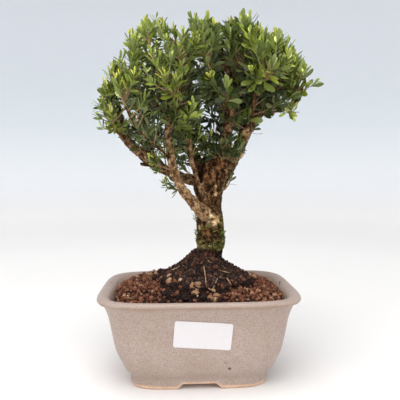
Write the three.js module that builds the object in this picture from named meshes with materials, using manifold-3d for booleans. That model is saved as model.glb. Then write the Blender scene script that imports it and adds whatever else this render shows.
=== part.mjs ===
// Boxwood bonsai growing in its glazed pot. Millimetres, +Z up, the front towards -Y.
// It is worked out round the pot's centre at table height, and moved at the end so that
// the middle of the whole object's base is the origin.
import * as THREE from "three";
import { mergeVertices } from "three/addons/utils/BufferGeometryUtils.js";
import Module from "manifold-3d";

const wasm = await Module();
wasm.setup();

// Pot: half sizes of the rim, corner squareness, wall, floor and feet
const RIM_HALF_WIDTH = 75;
const RIM_HALF_DEPTH = 53;
const POT_HEIGHT = 69.4;
const CORNER_POWER = 5;
const DEPTH_TAPER = 0.9;
const POT_SIDES = 32;
const FLOOR_UNDERSIDE = 5;
const FLOOR_TOP = 11;
const FOOT_NOTCH = { height: 4.4, halfTop: 12.4, halfBottom: 16.6 };
const SIDE_NOTCH = { height: 4, halfTop: 7.5, halfBottom: 11 };
const DRAIN_HOLE_RADIUS = 5;
const DRAIN_HOLE_X = 22;

// Each row is a height and the half width of the pot there.
const OUTER_WALL = [
  [0, 50.7], [1.2, 51.8], [5.4, 52.2], [8, 53.6], [14, 56.4], [20, 59.3], [28, 62.4], [40, 64.8],
  [54, 67.4], [62, 70.2],
];
const LIP = [[64.6, 72.4], [67, 75], [68.7, 74.4], [69.4, 71.8], [68, 67.8]];
const INNER_WALL = [[61, 63.8], [38, 58.8], [20, 53], [FLOOR_TOP, 45.5]];
const UNDERSIDE = [[FLOOR_UNDERSIDE, 43], [0, 44.5]];

// Clearance between pieces that touch
const GAP = 0.3;

// Drain screens over the holes in the floor
const SCREEN = { side: 22, thickness: 1.2, hole: 4, pitch: 6, holesPerSide: 3 };

// Paper label on the front wall
const LABEL = { width: 40.6, height: 20, corner: 1.6, thickness: 0.4, x: 1.6, z: 44.9, tilt: 4.2 };

// Soil: the heap of granules, the peat ball and the trunk's foot
const BED_EDGE_HEIGHT = 64;
const BED_RISE = 17.5;
const BED_HALF_WIDTH = 68;
const BED_HALF_DEPTH = 47;
const GRANULE_PITCH = 6;
const GRANULE_SHIFT = 3;
const GRANULE_RELIEF = 2.4;
const BALL_CENTRE = [4.5, 0];
const BALL_SIDES = 16;
const BALL_UNEVENNESS = 0.12;
const BALL_RELIEF = 1.6;
// Each row is a height, the ball's half width and its half depth there.
const ROOT_BALL = [
  [22, 22, 15], [34, 29, 20], [66, 37, 30], [76, 36.5, 31], [79.5, 32, 29], [82, 27.5, 25.5],
  [85.5, 22.5, 21.5], [90, 16.5, 16.5], [94.5, 12.8, 12.8],
];
const TRUNK_HOLE_FLOOR = 60;
const TRUNK_SIDES = 14;
// Ridges round the trunk: how many, how high for its radius, and how they wind up it
const BARK_RIDGES = [{ count: 3, share: 0.05, winding: 0.11 }, { count: 5, share: 0.03, winding: -0.17 }];

// The place the front is looked at from, in front of the pot and half as high as the tree
const EYE = { x: -15, distance: 336, z: 155.5 };

// Wood. Each point is how far across and how high it looks from EYE in the plane of the
// trunk, its real depth behind that plane, and the radius that it looks to have.
const TRUNK = [
  [9, TRUNK_HOLE_FLOOR, 0, 7.6], [9.4, 82, 0, 8.2], [9.8, 92, 0, 8.8], [10.2, 99, 0, 10.2],
  [10.4, 106, 0, 10.8], [10, 117, 0, 10.2], [9.4, 129, 0, 9.5], [9.4, 138, 0, 9.5],
  [9.8, 147, 1, 10.4], [10.6, 156, 2, 11.4], [12, 164, 3, 9.6], [15.5, 170, 4, 6],
];
// A sawn stub on the low left limb, which bears nothing
const STUB = [[-33, 164, 14, 2.4], [-39, 164.5, 12, 2.1], [-45, 165, 10, 1.7]];
const LIMBS = {
  tanFront: [
    [11, 121, -4, 5.6], [5, 126.5, -9, 5.4], [-2, 133.5, -13, 4.8], [-9, 141.5, -17, 4.3],
    [-15, 151, -19, 4.1], [-18.5, 161, -21, 3.9], [-21, 172, -23, 3.6], [-22.5, 185, -25, 3.3],
    [-23.5, 200, -27, 2.9], [-25, 214, -29, 2.5], [-28, 228, -31, 2.1], [-33, 240, -31, 1.6],
    [-36, 251, -29, 1.2],
  ],
  tanSide: [[-24, 203, -27, 1.9], [-31, 208, -32, 1.6], [-39, 214, -36, 1.3], [-46, 222, -39, 1]],
  tanInner: [[-23, 192, -26, 1.8], [-17, 204, -32, 1.5], [-14, 217, -38, 1.3], [-14, 231, -41, 1]],
  frontLeft: [
    [-20, 168, -22, 2], [-31, 177, -32, 1.8], [-42, 187, -40, 1.5], [-51, 198, -45, 1.2],
    [-56, 209, -47, 1],
  ],
  lowLeft: [
    [6, 151, 6, 6], [-6, 151.5, 11, 5.2], [-18, 156, 14, 4.7], [-30, 162.5, 14, 4.2],
    [-41, 171, 13, 3.7], [-50, 179, 11, 3.3], [-57.5, 186.5, 8, 2.9], [-59.5, 197, 5, 2.4],
    [-61, 208, 3, 1.9], [-64, 218, 1, 1.5], [-65, 228, 0, 1.1],
  ],
  lowLeftTip: [[-57, 186, 8, 2.2], [-62, 190, 5, 1.9], [-66, 195, 2, 1.5], [-67, 202, 0, 1]],
  lowLeftShoot: [[-34, 166, 13, 1.9], [-36.5, 177, 8, 1.6], [-38.5, 189, 3, 1.3], [-43, 201, -1, 1]],
  backLeft: [
    [-26, 160, 14, 2.9], [-36, 172, 27, 2.5], [-46, 187, 36, 2], [-53, 204, 41, 1.5],
    [-57, 220, 42, 1],
  ],
  middle: [
    [9, 131, -6, 2.9], [3, 143, -9, 2.5], [-2, 156, -12, 2.3], [-5, 170, -15, 2.1],
    [-6.5, 185, -18, 1.9], [-7, 201, -22, 1.5], [-8, 217, -25, 1],
  ],
  crown: [
    [6, 157, 5, 4.6], [-2, 171, 9, 3.6], [-7, 185, 9, 3.2], [-8, 198, 7, 3], [-9, 213, 4, 2.7],
    [-9, 231, 0, 2.2], [-12, 243, -3, 1.6], [-15, 252, -4, 1.1],
  ],
  crownLeft: [
    [-8, 198, 7, 2.4], [-19, 211, 12, 2.2], [-31, 226, 14, 1.8], [-41, 236, 12, 1.5],
    [-47, 245, 8, 1],
  ],
  backTop: [
    [5, 158, 9, 4.2], [-4, 173, 18, 3.6], [-11, 187, 26, 3.3], [-17, 202, 31, 3], [-24, 221, 35, 2.5],
    [-29, 237, 35, 1.8], [-31, 249, 31, 1.1],
  ],
  right: [
    [11, 141, 1, 7], [17, 152, 2, 7.6], [24.5, 163, 2, 6.6], [31, 173, 1, 5.7], [36, 185, -1, 5],
    [42, 197, -4, 4.4], [50, 206, -6, 3.7], [59, 208, -7, 3.2], [68, 209, -7, 2.6], [76, 213, -6, 2], [81, 220, -4, 1.5],
    [83, 229, -2, 1],
  ],
  rightUp: [[43, 198, -4, 3], [49, 213, 3, 2.5], [55, 227, 8, 2], [60, 239, 9, 1.5], [62, 248, 8, 1]],
  rightFront: [
    [55, 207, -7, 2.2], [60, 218, -16, 1.9], [65, 229, -23, 1.5], [67, 239, -26, 1],
  ],
  rightOver: [
    [37, 186, -1, 2.6], [41, 201, -12, 2.2], [45, 217, -23, 1.8], [47, 230, -31, 1.4],
    [48, 241, -34, 1],
  ],
  rightBack: [
    [29, 170, 2, 3.6], [37, 184, 16, 3.1], [46, 201, 28, 2.5], [55, 218, 36, 1.9], [61, 231, 38, 1.4],
    [62, 241, 36, 1],
  ],
  centre: [
    [17, 163, -1, 5.8], [21.5, 176, -5, 4.4], [23.5, 190, -8, 3.8], [25.5, 204, -11, 3.4],
    [26, 217, -13, 3.1], [25.5, 229, -15, 2.7], [22, 242, -17, 2], [18, 249, -18, 1.5],
    [15, 255, -17, 1],
  ],
  centreFork: [[26, 226, -15, 2], [29.5, 240, -15, 1.7], [31, 249, -13, 1.3], [32, 256, -10, 1]],
  centreThin: [[26.5, 212, -13, 1.6], [31, 221, -18, 1.3], [33, 231, -24, 1]],
  centreFront: [[25.5, 201, -10, 1.7], [19, 214, -22, 1.5], [13, 226, -32, 1.2], [9, 238, -38, 1]],
  back: [
    [15, 160, 7, 4.8], [19, 177, 18, 4], [21, 195, 28, 3.5], [18, 214, 36, 2.9], [14, 233, 40, 2.1],
    [11, 246, 38, 1.5], [9, 254, 33, 1],
  ],
};

// Leafy sprays. Their tips stand on the domes that make up the crown, the radii being
// across, in depth and in height, at least TIP_SPACING apart.
const DOMES = [
  { centre: [-29, 0, 218], radii: [42, 54, 46], tips: 90 },
  { centre: [38, 0, 230], radii: [42, 52, 38], tips: 80 },
  { centre: [3, 0, 226], radii: [34, 50, 41], tips: 60 },
];
const DOME_FLOOR = -0.62;
const DOME_RELIEF = 0.1;
const DOME_OVERLAP = 0.92;
const CROWN_MARGIN = 1.06;
const TIP_SPACING = 23.5;
// Gaps that the eye sees the sky through: left, right, bottom and top, as seen from EYE
const WINDOWS = [[0, 20, 178, 212], [-12, 2, 138, 152], [-21, -9, 158, 172]];
// Small sprays low on the limbs and on the trunk: tip as seen from EYE, depth, leaf pairs
const LOW_SPRAYS = [
  [-43, 157, 6, 2], [-27, 147, -6, 2], [31, 150, -4, 1], [30, 178, -18, 2], [53, 196, -12, 2],
  [74, 202, -8, 2], [-8, 125, -4, 1], [24, 112, -9, 1], [-6, 110, -9, 1],
];
// More of them, where the crown's underside would be bare
const FILL_SPRAYS = [[-34, 168, -10, 2], [-6, 176, -10, 2], [6, 182, 4, 2]];
const TWIG = { radius: 1.1, tipShare: 0.6, bareStep: 9, bend: 0.45, leader: 15, shortest: 8 };
const FOOT_DROP = { least: 6, cost: 1.5 };
const FORK = { places: [0.45, 0.7], share: 0.75, length: 12, angle: 58, pairs: 2, lift: 3 };
const LEAF = {
  length: 14.5, width: 5.3, thickness: 1.1, root: 1.2, rise: 1.3, angle: 52, tipAngle: 26,
};
// The leaf's rim and middle: shares of its length, its half width and its rise
const LEAF_RIM = [[0.36, -0.76, 0.2], [0.72, -1, 0.55], [1, 0, 1], [0.72, 1, 0.55], [0.36, 0.76, 0.2]];
const LEAF_MIDDLE = [0.55, 0, 0.35];
const PAIR_SPACING = 6;
const PAIRS = 3;
const TIP_LEAF_SHARE = 0.75;
const BLADE_TURNS = [0, 0.55, -0.55];
// A spray that finds no room is tried again, its tip moved aside by up to this much more
const TRIES = 8;
const ASIDE = 3;
const FORK_TRIES = 5;
const FORK_SEED = 500;
const GOLDEN_ANGLE = Math.PI * (3 - Math.sqrt(5));
const MOST_SPRAYS = 53;

const FINISH = {
  pot: { color: 0xb9a598, roughness: 0.55 },
  screen: { color: 0x2b2b2b, roughness: 0.6 },
  label: { color: 0xf4f3f1, roughness: 0.6 },
  granules: { color: 0x6e4a39, roughness: 0.95 },
  peat: { color: 0x2c201b, roughness: 0.95 },
  wood: { color: 0x8a6a4c, roughness: 0.9 },
  leaf: { color: 0x3f6b2c, roughness: 0.45 },
};

// A number from 0 to 1 that depends on nothing but the two whole numbers given.
function chance(first, second) {
  let h = Math.imul(first + 1, 0x9e3779b1) ^ Math.imul(second + 7, 0x85ebca6b);
  h = Math.imul(h ^ (h >>> 15), 0x2c1b3c6d);
  h = Math.imul(h ^ (h >>> 12), 0x297a2d39);
  return ((h ^ (h >>> 15)) >>> 0) / 4294967296;
}

function vector(x, y, z) {
  return new THREE.Vector3(x, y, z);
}

function closedGeometry(points, faces) {
  const geometry = new THREE.BufferGeometry();
  const numbers = points.flatMap((p) => [p.x, p.y, p.z]);
  geometry.setAttribute("position", new THREE.Float32BufferAttribute(numbers, 3));
  geometry.setIndex(faces.flat());
  return geometry;
}

// A closed skin over rings of equally many points, each ring turning left about the way
// that the rings go.
function loft(rings) {
  const sides = rings[0].length;
  const faces = [];
  for (let i = 0; i + 1 < rings.length; i++) {
    for (let j = 0; j < sides; j++) {
      const a = i * sides + j;
      const b = i * sides + ((j + 1) % sides);
      faces.push([a, b, b + sides], [a, b + sides, a + sides]);
    }
  }
  const last = (rings.length - 1) * sides;
  for (let j = 1; j + 1 < sides; j++) {
    faces.push([0, j + 1, j], [last, last + j, last + j + 1]);
  }
  return closedGeometry(rings.flat(), faces);
}

function solidOf(geometry) {
  const bare = new THREE.BufferGeometry();
  bare.setAttribute("position", geometry.getAttribute("position"));
  bare.setIndex(geometry.getIndex());
  const merged = mergeVertices(bare, 1e-4);
  return new wasm.Manifold(
    new wasm.Mesh({
      numProp: 3,
      vertProperties: new Float32Array(merged.getAttribute("position").array),
      triVerts: new Uint32Array(merged.getIndex().array),
    }),
  );
}

function geometryOf(solid) {
  const mesh = solid.getMesh();
  const geometry = new THREE.BufferGeometry();
  const positions = new Float32Array(mesh.vertProperties);
  geometry.setAttribute("position", new THREE.BufferAttribute(positions, 3));
  geometry.setIndex(new THREE.BufferAttribute(new Uint32Array(mesh.triVerts), 1));
  const flat = geometry.toNonIndexed();
  flat.computeVertexNormals();
  return flat;
}

function join(solids) {
  return solids.reduce((whole, piece) => whole.add(piece));
}

function piece(name, solid, finish) {
  const material = new THREE.MeshStandardMaterial({ ...FINISH[finish], metalness: 0 });
  const mesh = new THREE.Mesh(geometryOf(solid), material);
  mesh.name = name;
  return mesh;
}

// One level ring with flattened sides and round corners.
function ovalRing(halfWidth, halfDepth, z, sides = POT_SIDES, power = CORNER_POWER) {
  const bend = (value) => Math.sign(value) * Math.abs(value) ** (2 / power);
  return Array.from({ length: sides }, (_, i) => {
    const turn = (2 * Math.PI * i) / sides;
    return vector(halfWidth * bend(Math.cos(turn)), halfDepth * bend(Math.sin(turn)), z);
  });
}

function halfDepthFor(halfWidth) {
  return RIM_HALF_DEPTH - DEPTH_TAPER * (RIM_HALF_WIDTH - halfWidth);
}

// The rings of the pot at rows of height and half width, all moved outwards by a distance.
function potRings(rows, outwards = 0) {
  return rows.map(([z, half]) => ovalRing(half + outwards, halfDepthFor(half) + outwards, z));
}

function notchGeometry({ height, halfTop, halfBottom }, reach) {
  const outline = new THREE.Shape([
    new THREE.Vector2(-halfBottom, -1), new THREE.Vector2(halfBottom, -1),
    new THREE.Vector2(halfTop, height), new THREE.Vector2(-halfTop, height),
  ]);
  const geometry = new THREE.ExtrudeGeometry(outline, { depth: 2 * reach, bevelEnabled: false });
  return geometry.translate(0, 0, -reach).rotateX(Math.PI / 2);
}

function makePot() {
  const skin = [...UNDERSIDE, ...OUTER_WALL, ...LIP, ...INNER_WALL];
  let pot = solidOf(loft(potRings(skin)));
  pot = pot.subtract(solidOf(notchGeometry(FOOT_NOTCH, RIM_HALF_DEPTH)));
  pot = pot.subtract(solidOf(notchGeometry(SIDE_NOTCH, RIM_HALF_WIDTH).rotateZ(Math.PI / 2)));
  for (const side of [-1, 1]) {
    const hole = new THREE.CylinderGeometry(DRAIN_HOLE_RADIUS, DRAIN_HOLE_RADIUS, 3 * FLOOR_TOP, 14);
    pot = pot.subtract(solidOf(hole.rotateX(Math.PI / 2).translate(side * DRAIN_HOLE_X, 0, 0)));
  }
  return pot;
}

function boxSolid(width, depth, height, x, y, z) {
  return solidOf(new THREE.BoxGeometry(width, depth, height).translate(x, y, z));
}

function makeScreen(x) {
  const { side, thickness, hole, pitch, holesPerSide } = SCREEN;
  const z = FLOOR_TOP + GAP + thickness / 2;
  const middle = (holesPerSide - 1) / 2;
  let screen = boxSolid(side, side, thickness, x, 0, z);
  for (let i = 0; i < holesPerSide; i++) {
    for (let j = 0; j < holesPerSide; j++) {
      const place = [x + (i - middle) * pitch, (j - middle) * pitch, z];
      screen = screen.subtract(boxSolid(hole, hole, 2 * thickness, ...place));
    }
  }
  return screen;
}

// The label is what a rounded plate cuts out of a thin skin over the front wall.
function makeLabel() {
  const { width, height, corner, thickness, x, z, tilt } = LABEL;
  const w = width / 2;
  const h = height / 2;
  const outline = new THREE.Shape();
  outline.moveTo(-w + corner, -h).lineTo(w - corner, -h).quadraticCurveTo(w, -h, w, -h + corner);
  outline.lineTo(w, h - corner).quadraticCurveTo(w, h, w - corner, h);
  outline.lineTo(-w + corner, h).quadraticCurveTo(-w, h, -w, h - corner);
  outline.lineTo(-w, -h + corner).quadraticCurveTo(-w, -h, -w + corner, -h);
  const settings = { depth: RIM_HALF_DEPTH, bevelEnabled: false, curveSegments: 3 };
  const plate = new THREE.ExtrudeGeometry(outline, settings)
    .rotateX(Math.PI / 2)
    .rotateY(THREE.MathUtils.degToRad(tilt))
    .translate(x, 0, z);
  const shell = solidOf(loft(potRings(OUTER_WALL, GAP + thickness)));
  return solidOf(plate).intersect(shell).subtract(solidOf(loft(potRings(OUTER_WALL, GAP))));
}

function bedHeight(x, y) {
  const across = Math.max(0, 1 - (x / BED_HALF_WIDTH) ** 2);
  const along = Math.max(0, 1 - (y / BED_HALF_DEPTH) ** 2);
  return BED_EDGE_HEIGHT + BED_RISE * across * along;
}

// A block whose top is the heap: its grid points are shifted at random and stand high or
// low, which makes the facets look like grains.
function heapGeometry() {
  const columns = 2 * Math.round(RIM_HALF_WIDTH / GRANULE_PITCH);
  const rows = 2 * Math.round(RIM_HALF_DEPTH / GRANULE_PITCH);
  const points = [];
  for (let i = 0; i <= columns; i++) {
    for (let j = 0; j <= rows; j++) {
      const id = i * 1000 + j;
      const x = (i - columns / 2) * GRANULE_PITCH + GRANULE_SHIFT * (chance(id, 1) - 0.5);
      const y = (j - rows / 2) * GRANULE_PITCH + GRANULE_SHIFT * (chance(id, 2) - 0.5);
      points.push(vector(x, y, bedHeight(x, y) + GRANULE_RELIEF * (chance(id, 3) - 0.75)));
    }
  }
  const at = (i, j) => i * (rows + 1) + j;
  const faces = [];
  for (let i = 0; i < columns; i++) {
    for (let j = 0; j < rows; j++) {
      const across = at(i + 1, j + 1);
      faces.push([at(i, j), at(i + 1, j), across], [at(i, j), across, at(i, j + 1)]);
    }
  }
  const edge = [];
  for (let i = 0; i < columns; i++) edge.push(at(i, 0));
  for (let j = 0; j < rows; j++) edge.push(at(columns, j));
  for (let i = columns; i > 0; i--) edge.push(at(i, rows));
  for (let j = rows; j > 0; j--) edge.push(at(0, j));
  const low = points.length;
  edge.forEach((k) => points.push(vector(points[k].x, points[k].y, 0)));
  const centre = points.length;
  points.push(vector(0, 0, 0));
  edge.forEach((k, i) => {
    const next = (i + 1) % edge.length;
    faces.push([low + i, low + next, edge[next]], [low + i, edge[next], k]);
    faces.push([centre, low + next, low + i]);
  });
  return closedGeometry(points, faces);
}

// The peat ball's rings, uneven by a formula, all moved outwards by a distance.
function ballRings(outwards) {
  return ROOT_BALL.map(([z, halfWidth, halfDepth], i) =>
    Array.from({ length: BALL_SIDES }, (_, j) => {
      const turn = (2 * Math.PI * j) / BALL_SIDES;
      const uneven = 1 + BALL_UNEVENNESS * (chance(i * 100 + j, 4) - 0.5);
      return vector(
        BALL_CENTRE[0] + (halfWidth * uneven + outwards) * Math.cos(turn),
        BALL_CENTRE[1] + (halfDepth * uneven + outwards) * Math.sin(turn),
        z + BALL_RELIEF * (chance(i * 100 + j, 5) - 0.5) - (i === 0 ? outwards : 0),
      );
    }),
  );
}

function makeBed() {
  const inside = [[POT_HEIGHT + 20, INNER_WALL[0][1] + 6], ...INNER_WALL].reverse();
  const column = loft(potRings(inside, -GAP)).translate(0, 0, GAP);
  let bed = solidOf(heapGeometry()).intersect(solidOf(column));
  bed = bed.subtract(solidOf(loft(ballRings(GAP))));
  for (const side of [-1, 1]) {
    const room = SCREEN.side + 2 * GAP;
    const height = 2 * (SCREEN.thickness + 2 * GAP);
    bed = bed.subtract(boxSolid(room, room, height, side * DRAIN_HOLE_X, 0, FLOOR_TOP));
  }
  return bed;
}

// A point given as seen from EYE in the plane of the trunk, moved along the line of sight
// to its real depth.
function real([across, up, depth, radius]) {
  const scale = (EYE.distance + depth) / EYE.distance;
  const at = vector(EYE.x + (across - EYE.x) * scale, depth, EYE.z + (up - EYE.z) * scale);
  return { at, radius: radius * scale };
}

function seen(point) {
  const scale = EYE.distance / (EYE.distance + point.y);
  return [EYE.x + (point.x - EYE.x) * scale, EYE.z + (point.z - EYE.z) * scale];
}

function directionAt(path, i) {
  const before = path[Math.max(i - 1, 0)].at;
  const after = path[Math.min(i + 1, path.length - 1)].at;
  return after.clone().sub(before).normalize();
}

// A direction square to a given one, rolled round it by an angle.
function squareTo(direction, roll) {
  const hint = Math.abs(direction.z) < 0.9 ? vector(0, 0, 1) : vector(1, 0, 0);
  return hint.cross(direction).normalize().applyAxisAngle(direction, roll);
}

// A path with a side and an up direction at each point, which turn as little as they can.
function framed(path, roll = 0) {
  let side = squareTo(directionAt(path, 0), roll);
  return path.map(({ at, radius }, i) => {
    const along = directionAt(path, i);
    side = side.clone().addScaledVector(along, -side.dot(along)).normalize();
    return { at, radius, along, side, up: along.clone().cross(side) };
  });
}

function outward({ side, up }, turn) {
  return side.clone().multiplyScalar(Math.cos(turn)).addScaledVector(up, Math.sin(turn));
}

// A closed tube with a ring round each point of a framed path. Ridge shapes its outline.
function tube(path, sides, ridge = () => 1) {
  const rings = path.map((point) =>
    Array.from({ length: sides }, (_, j) => {
      const turn = (2 * Math.PI * j) / sides;
      const reach = point.radius * ridge(turn, point.at.z);
      return point.at.clone().addScaledVector(outward(point, turn), reach);
    }),
  );
  return loft(rings);
}

function barkRidge(turn, height) {
  const ridges = BARK_RIDGES.map(
    ({ count, share, winding }) => share * Math.sin(count * turn + winding * height),
  );
  return ridges.reduce((sum, ridge) => sum + ridge, 1);
}

function sidesFor(radius) {
  if (radius > 4) return 7;
  return radius > 2.3 ? 5 : 4;
}

function makeWood(trunkPath, limbPaths) {
  const trunk = solidOf(tube(trunkPath, TRUNK_SIDES, barkRidge));
  return join([trunk, ...limbPaths.map((path) => solidOf(tube(path, sidesFor(path[0].radius))))]);
}

// The trunk's foot, a little wider than the trunk, to be cut out of the peat.
function trunkHole(trunkPath) {
  const wider = trunkPath.map((point) => ({ ...point, radius: point.radius + 2 * GAP }));
  wider[0].at = wider[0].at.clone().add(vector(0, 0, -GAP));
  return solidOf(tube(wider, TRUNK_SIDES, barkRidge));
}

// One leaf blade on a flat of a square twig: its root is the flat's four corners, it is
// widest past its middle, thin at its rim and thick along its middle. It gives the faces
// that take the flat's place, as triangles of points.
function bladeFaces(quad, along, lift, size) {
  const [lowLeft, lowRight, upRight, upLeft] = quad;
  const root = lowLeft.clone().add(lowRight).add(upRight).add(upLeft).multiplyScalar(0.25);
  const side = lift.clone().cross(along);
  const place = (x, y, z) =>
    root
      .clone()
      .addScaledVector(along, x * size * LEAF.length)
      .addScaledVector(side, (y * size * LEAF.width) / 2)
      .addScaledVector(lift, z);
  const edge = LEAF_RIM.map(([x, y, z]) => place(x, y, z * LEAF.rise));
  const [x, y, z] = LEAF_MIDDLE;
  const top = place(x, y, z * LEAF.rise + LEAF.thickness / 2);
  const bottom = place(x, y, z * LEAF.rise - LEAF.thickness / 2);
  const upper = [upLeft, ...edge, upRight];
  const lower = [lowLeft, ...edge, lowRight];
  const faces = [[upRight, edge[edge.length - 1], lowRight], [upLeft, lowLeft, edge[0]]];
  for (let i = 0; i < upper.length; i++) {
    const next = (i + 1) % upper.length;
    faces.push([top, upper[i], upper[next]], [bottom, lower[next], lower[i]]);
  }
  return faces;
}

function solidOfTriangles(triangles) {
  return solidOf(closedGeometry(triangles.flat(), triangles.map((_, i) => [3 * i, 3 * i + 1, 3 * i + 2])));
}

// A bent twig's middle line: a curve that starts out one way and bends over to a tip.
function twigCurve(start, out, tip) {
  const bend = start.clone().addScaledVector(out, TWIG.bend * start.distanceTo(tip));
  return new THREE.QuadraticBezierCurve3(start, bend, tip);
}

// A square twig as framed rings, two at each pair of leaves, and the leaves' places on it.
function twigPlan(curve, radius, pairs, id) {
  const length = curve.getLength();
  const stops = [];
  for (let i = 0; i < pairs; i++) {
    const back = i * PAIR_SPACING * (0.85 + 0.3 * chance(id, 30 + i));
    if (back + LEAF.root < length - 1) stops.push({ back: back + LEAF.root, pair: i }, { back });
  }
  if (!stops.length) stops.push({ back: 0 });
  const bare = length - Math.max(...stops.map(({ back }) => back));
  const bareSteps = Math.max(1, Math.round(bare / TWIG.bareStep));
  for (let k = 0; k < bareSteps; k++) stops.push({ back: length - (k * bare) / bareSteps });
  stops.sort((a, b) => b.back - a.back);
  const path = stops.map(({ back }) => {
    const share = 1 - back / length;
    return { at: curve.getPointAt(share), radius: radius * (1 - (1 - TWIG.tipShare) * share) };
  });
  const rings = framed(path, 2 * Math.PI * chance(id, 20));
  return { id, rings: rings.map((ring, i) => ({ ...ring, pair: stops[i].pair })) };
}

// The four corners of a ring of a square twig.
function corners(ring) {
  return [0, 1, 2, 3].map((j) => {
    const out = outward(ring, (j * Math.PI) / 2);
    return ring.at.clone().addScaledVector(out, ring.radius);
  });
}

// The flats of a twig plan: the corners of each, and the blade that grows on it if any, as
// it stands first and as it stands when it is turned aside to clear something.
function flatsOf({ rings, id }) {
  const flats = [];
  for (let i = 0; i + 1 < rings.length; i++) {
    const low = corners(rings[i]);
    const high = corners(rings[i + 1]);
    const { pair } = rings[i];
    for (let j = 0; j < 4; j++) {
      const k = (j + 1) % 4;
      const quad = [low[j], low[k], high[k], high[j]];
      const turns = pair !== undefined && j % 2 === pair % 2 ? BLADE_TURNS : [];
      flats.push({ quad, blades: turns.map((turn) => bladeOn(quad, rings[i], j, id, turn)) });
    }
  }
  return flats;
}

function bladeOn(quad, ring, j, id, turn) {
  const { pair } = ring;
  const draw = (k) => chance(id, 40 + 8 * pair + (j > 1 ? 4 : 0) + k) - 0.5;
  const lean = pair === 0 ? LEAF.tipAngle : LEAF.angle + 14 * draw(0) + 3 * pair;
  const angle = THREE.MathUtils.degToRad(lean);
  const out = outward(ring, (j + 0.5) * (Math.PI / 2) + 0.3 * draw(1) + turn);
  const mix = (forwards, outwards) =>
    ring.along.clone().multiplyScalar(forwards).addScaledVector(out, outwards);
  const along = mix(Math.cos(angle), Math.sin(angle));
  const lift = mix(Math.sin(angle), -Math.cos(angle));
  return bladeFaces(quad, along, lift, (pair === 0 ? TIP_LEAF_SHARE : 1) * (1 + 0.3 * draw(2)));
}

function quadFaces([a, b, c, d]) {
  return [[a, b, c], [a, c, d]];
}

// A twig's solid, with those of its blades that cross none of the solids given.
function twigSolid(plan, obstacles) {
  const { rings } = plan;
  const foot = corners(rings[0]).reverse();
  const faces = [...quadFaces(foot), ...quadFaces(corners(rings[rings.length - 1]))];
  const grown = [];
  for (const { quad, blades } of flatsOf(plan)) {
    const inner = quadFaces([...quad].reverse());
    const clear = blades
      .map((blade) => ({ blade, alone: solidOfTriangles([...blade, ...inner]) }))
      .find(({ alone }) => !overlaps(alone, [...obstacles, ...grown]));
    if (clear) grown.push(clear.alone);
    faces.push(...(clear ? clear.blade : quadFaces(quad)));
  }
  return { solid: solidOfTriangles(faces), grown };
}

function bareTwig({ rings }) {
  return solidOf(loft(rings.map(corners)));
}

function insideDome({ centre, radii }, point, scale = 1) {
  const [x, y, z] = [point.x - centre[0], point.y - centre[1], point.z - centre[2]];
  return (x / radii[0]) ** 2 + (y / radii[1]) ** 2 + (z / radii[2]) ** 2 < scale * scale;
}

function inCrown(point) {
  return DOMES.some((dome) => insideDome(dome, point, CROWN_MARGIN));
}

function inWindow(point) {
  const [x, z] = seen(point);
  return WINDOWS.some(
    ([left, right, bottom, top]) => x > left && x < right && z > bottom && z < top,
  );
}

// Even points on the domes, outside each other and above their open undersides.
function domeTips() {
  const tips = [];
  DOMES.forEach((dome, d) => {
    for (let i = 0; i < dome.tips; i++) {
      const up = 1 - ((i + 0.5) / dome.tips) * (1 - DOME_FLOOR);
      const turn = i * GOLDEN_ANGLE + d;
      const level = Math.sqrt(1 - up * up);
      const shrink = 1 - DOME_RELIEF * chance(i, 10 + d);
      const tip = vector(
        dome.centre[0] + dome.radii[0] * shrink * level * Math.cos(turn),
        dome.centre[1] + dome.radii[1] * shrink * level * Math.sin(turn),
        dome.centre[2] + dome.radii[2] * shrink * up,
      );
      const buried = DOMES.some((other) => other !== dome && insideDome(other, tip, DOME_OVERLAP));
      if (!buried && !inWindow(tip)) tips.push(tip);
    }
  });
  return tips;
}

// The limb point that a twig to this tip leaves from: near it and rather below it.
function footFor(tip, limbPaths) {
  let best = null;
  for (const path of limbPaths) {
    for (let i = 1; i < path.length; i++) {
      for (const share of [0, 0.5]) {
        const at = path[i].at.clone().lerp(path[i - 1].at, share);
        const cost = at.distanceTo(tip) + FOOT_DROP.cost * Math.max(0, at.z + FOOT_DROP.least - tip.z);
        if (best && best.cost <= cost) continue;
        const radius = THREE.MathUtils.lerp(path[i].radius, path[i - 1].radius, share);
        const last = share === 0 && i === path.length - 1;
        best = { cost, at, radius, along: path[i].along, last };
      }
    }
  }
  return best;
}

// The middle line of a spray's main twig, from the limb's skin to the tip.
function mainCurve({ tip, foot }, clear) {
  const toTip = tip.clone().sub(foot.at);
  const square = toTip.clone().addScaledVector(foot.along, -toTip.dot(foot.along)).normalize();
  const out = foot.last ? foot.along : square;
  const start = foot.at.clone().addScaledVector(out, (foot.last ? 0 : foot.radius) + clear);
  return twigCurve(start, out, tip);
}

// The middle line of a twig that forks off another one part of the way along it, rolled
// round it by an angle.
function forkCurve(curve, share, roll) {
  const from = curve.getPointAt(share);
  const along = curve.getTangentAt(share);
  const angle = THREE.MathUtils.degToRad(FORK.angle);
  const sideways = squareTo(along, roll);
  const way = along.multiplyScalar(Math.cos(angle)).addScaledVector(sideways, Math.sin(angle));
  const tip = from.clone().addScaledVector(way, FORK.length).add(vector(0, 0, FORK.lift));
  return twigCurve(from, way, tip);
}

// The spray that carries a limb on from its end, shortened where it would leave the crown.
function leader(path) {
  const end = path[path.length - 1];
  const tipAt = (length) =>
    end.at.clone().addScaledVector(end.along, length).add(vector(0, 0, length / 5));
  let length = TWIG.leader;
  while (!inCrown(tipAt(length)) && length > TWIG.shortest) length -= 1;
  return { tip: tipAt(length), foot: { ...end, last: true }, pairs: PAIRS };
}

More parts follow.
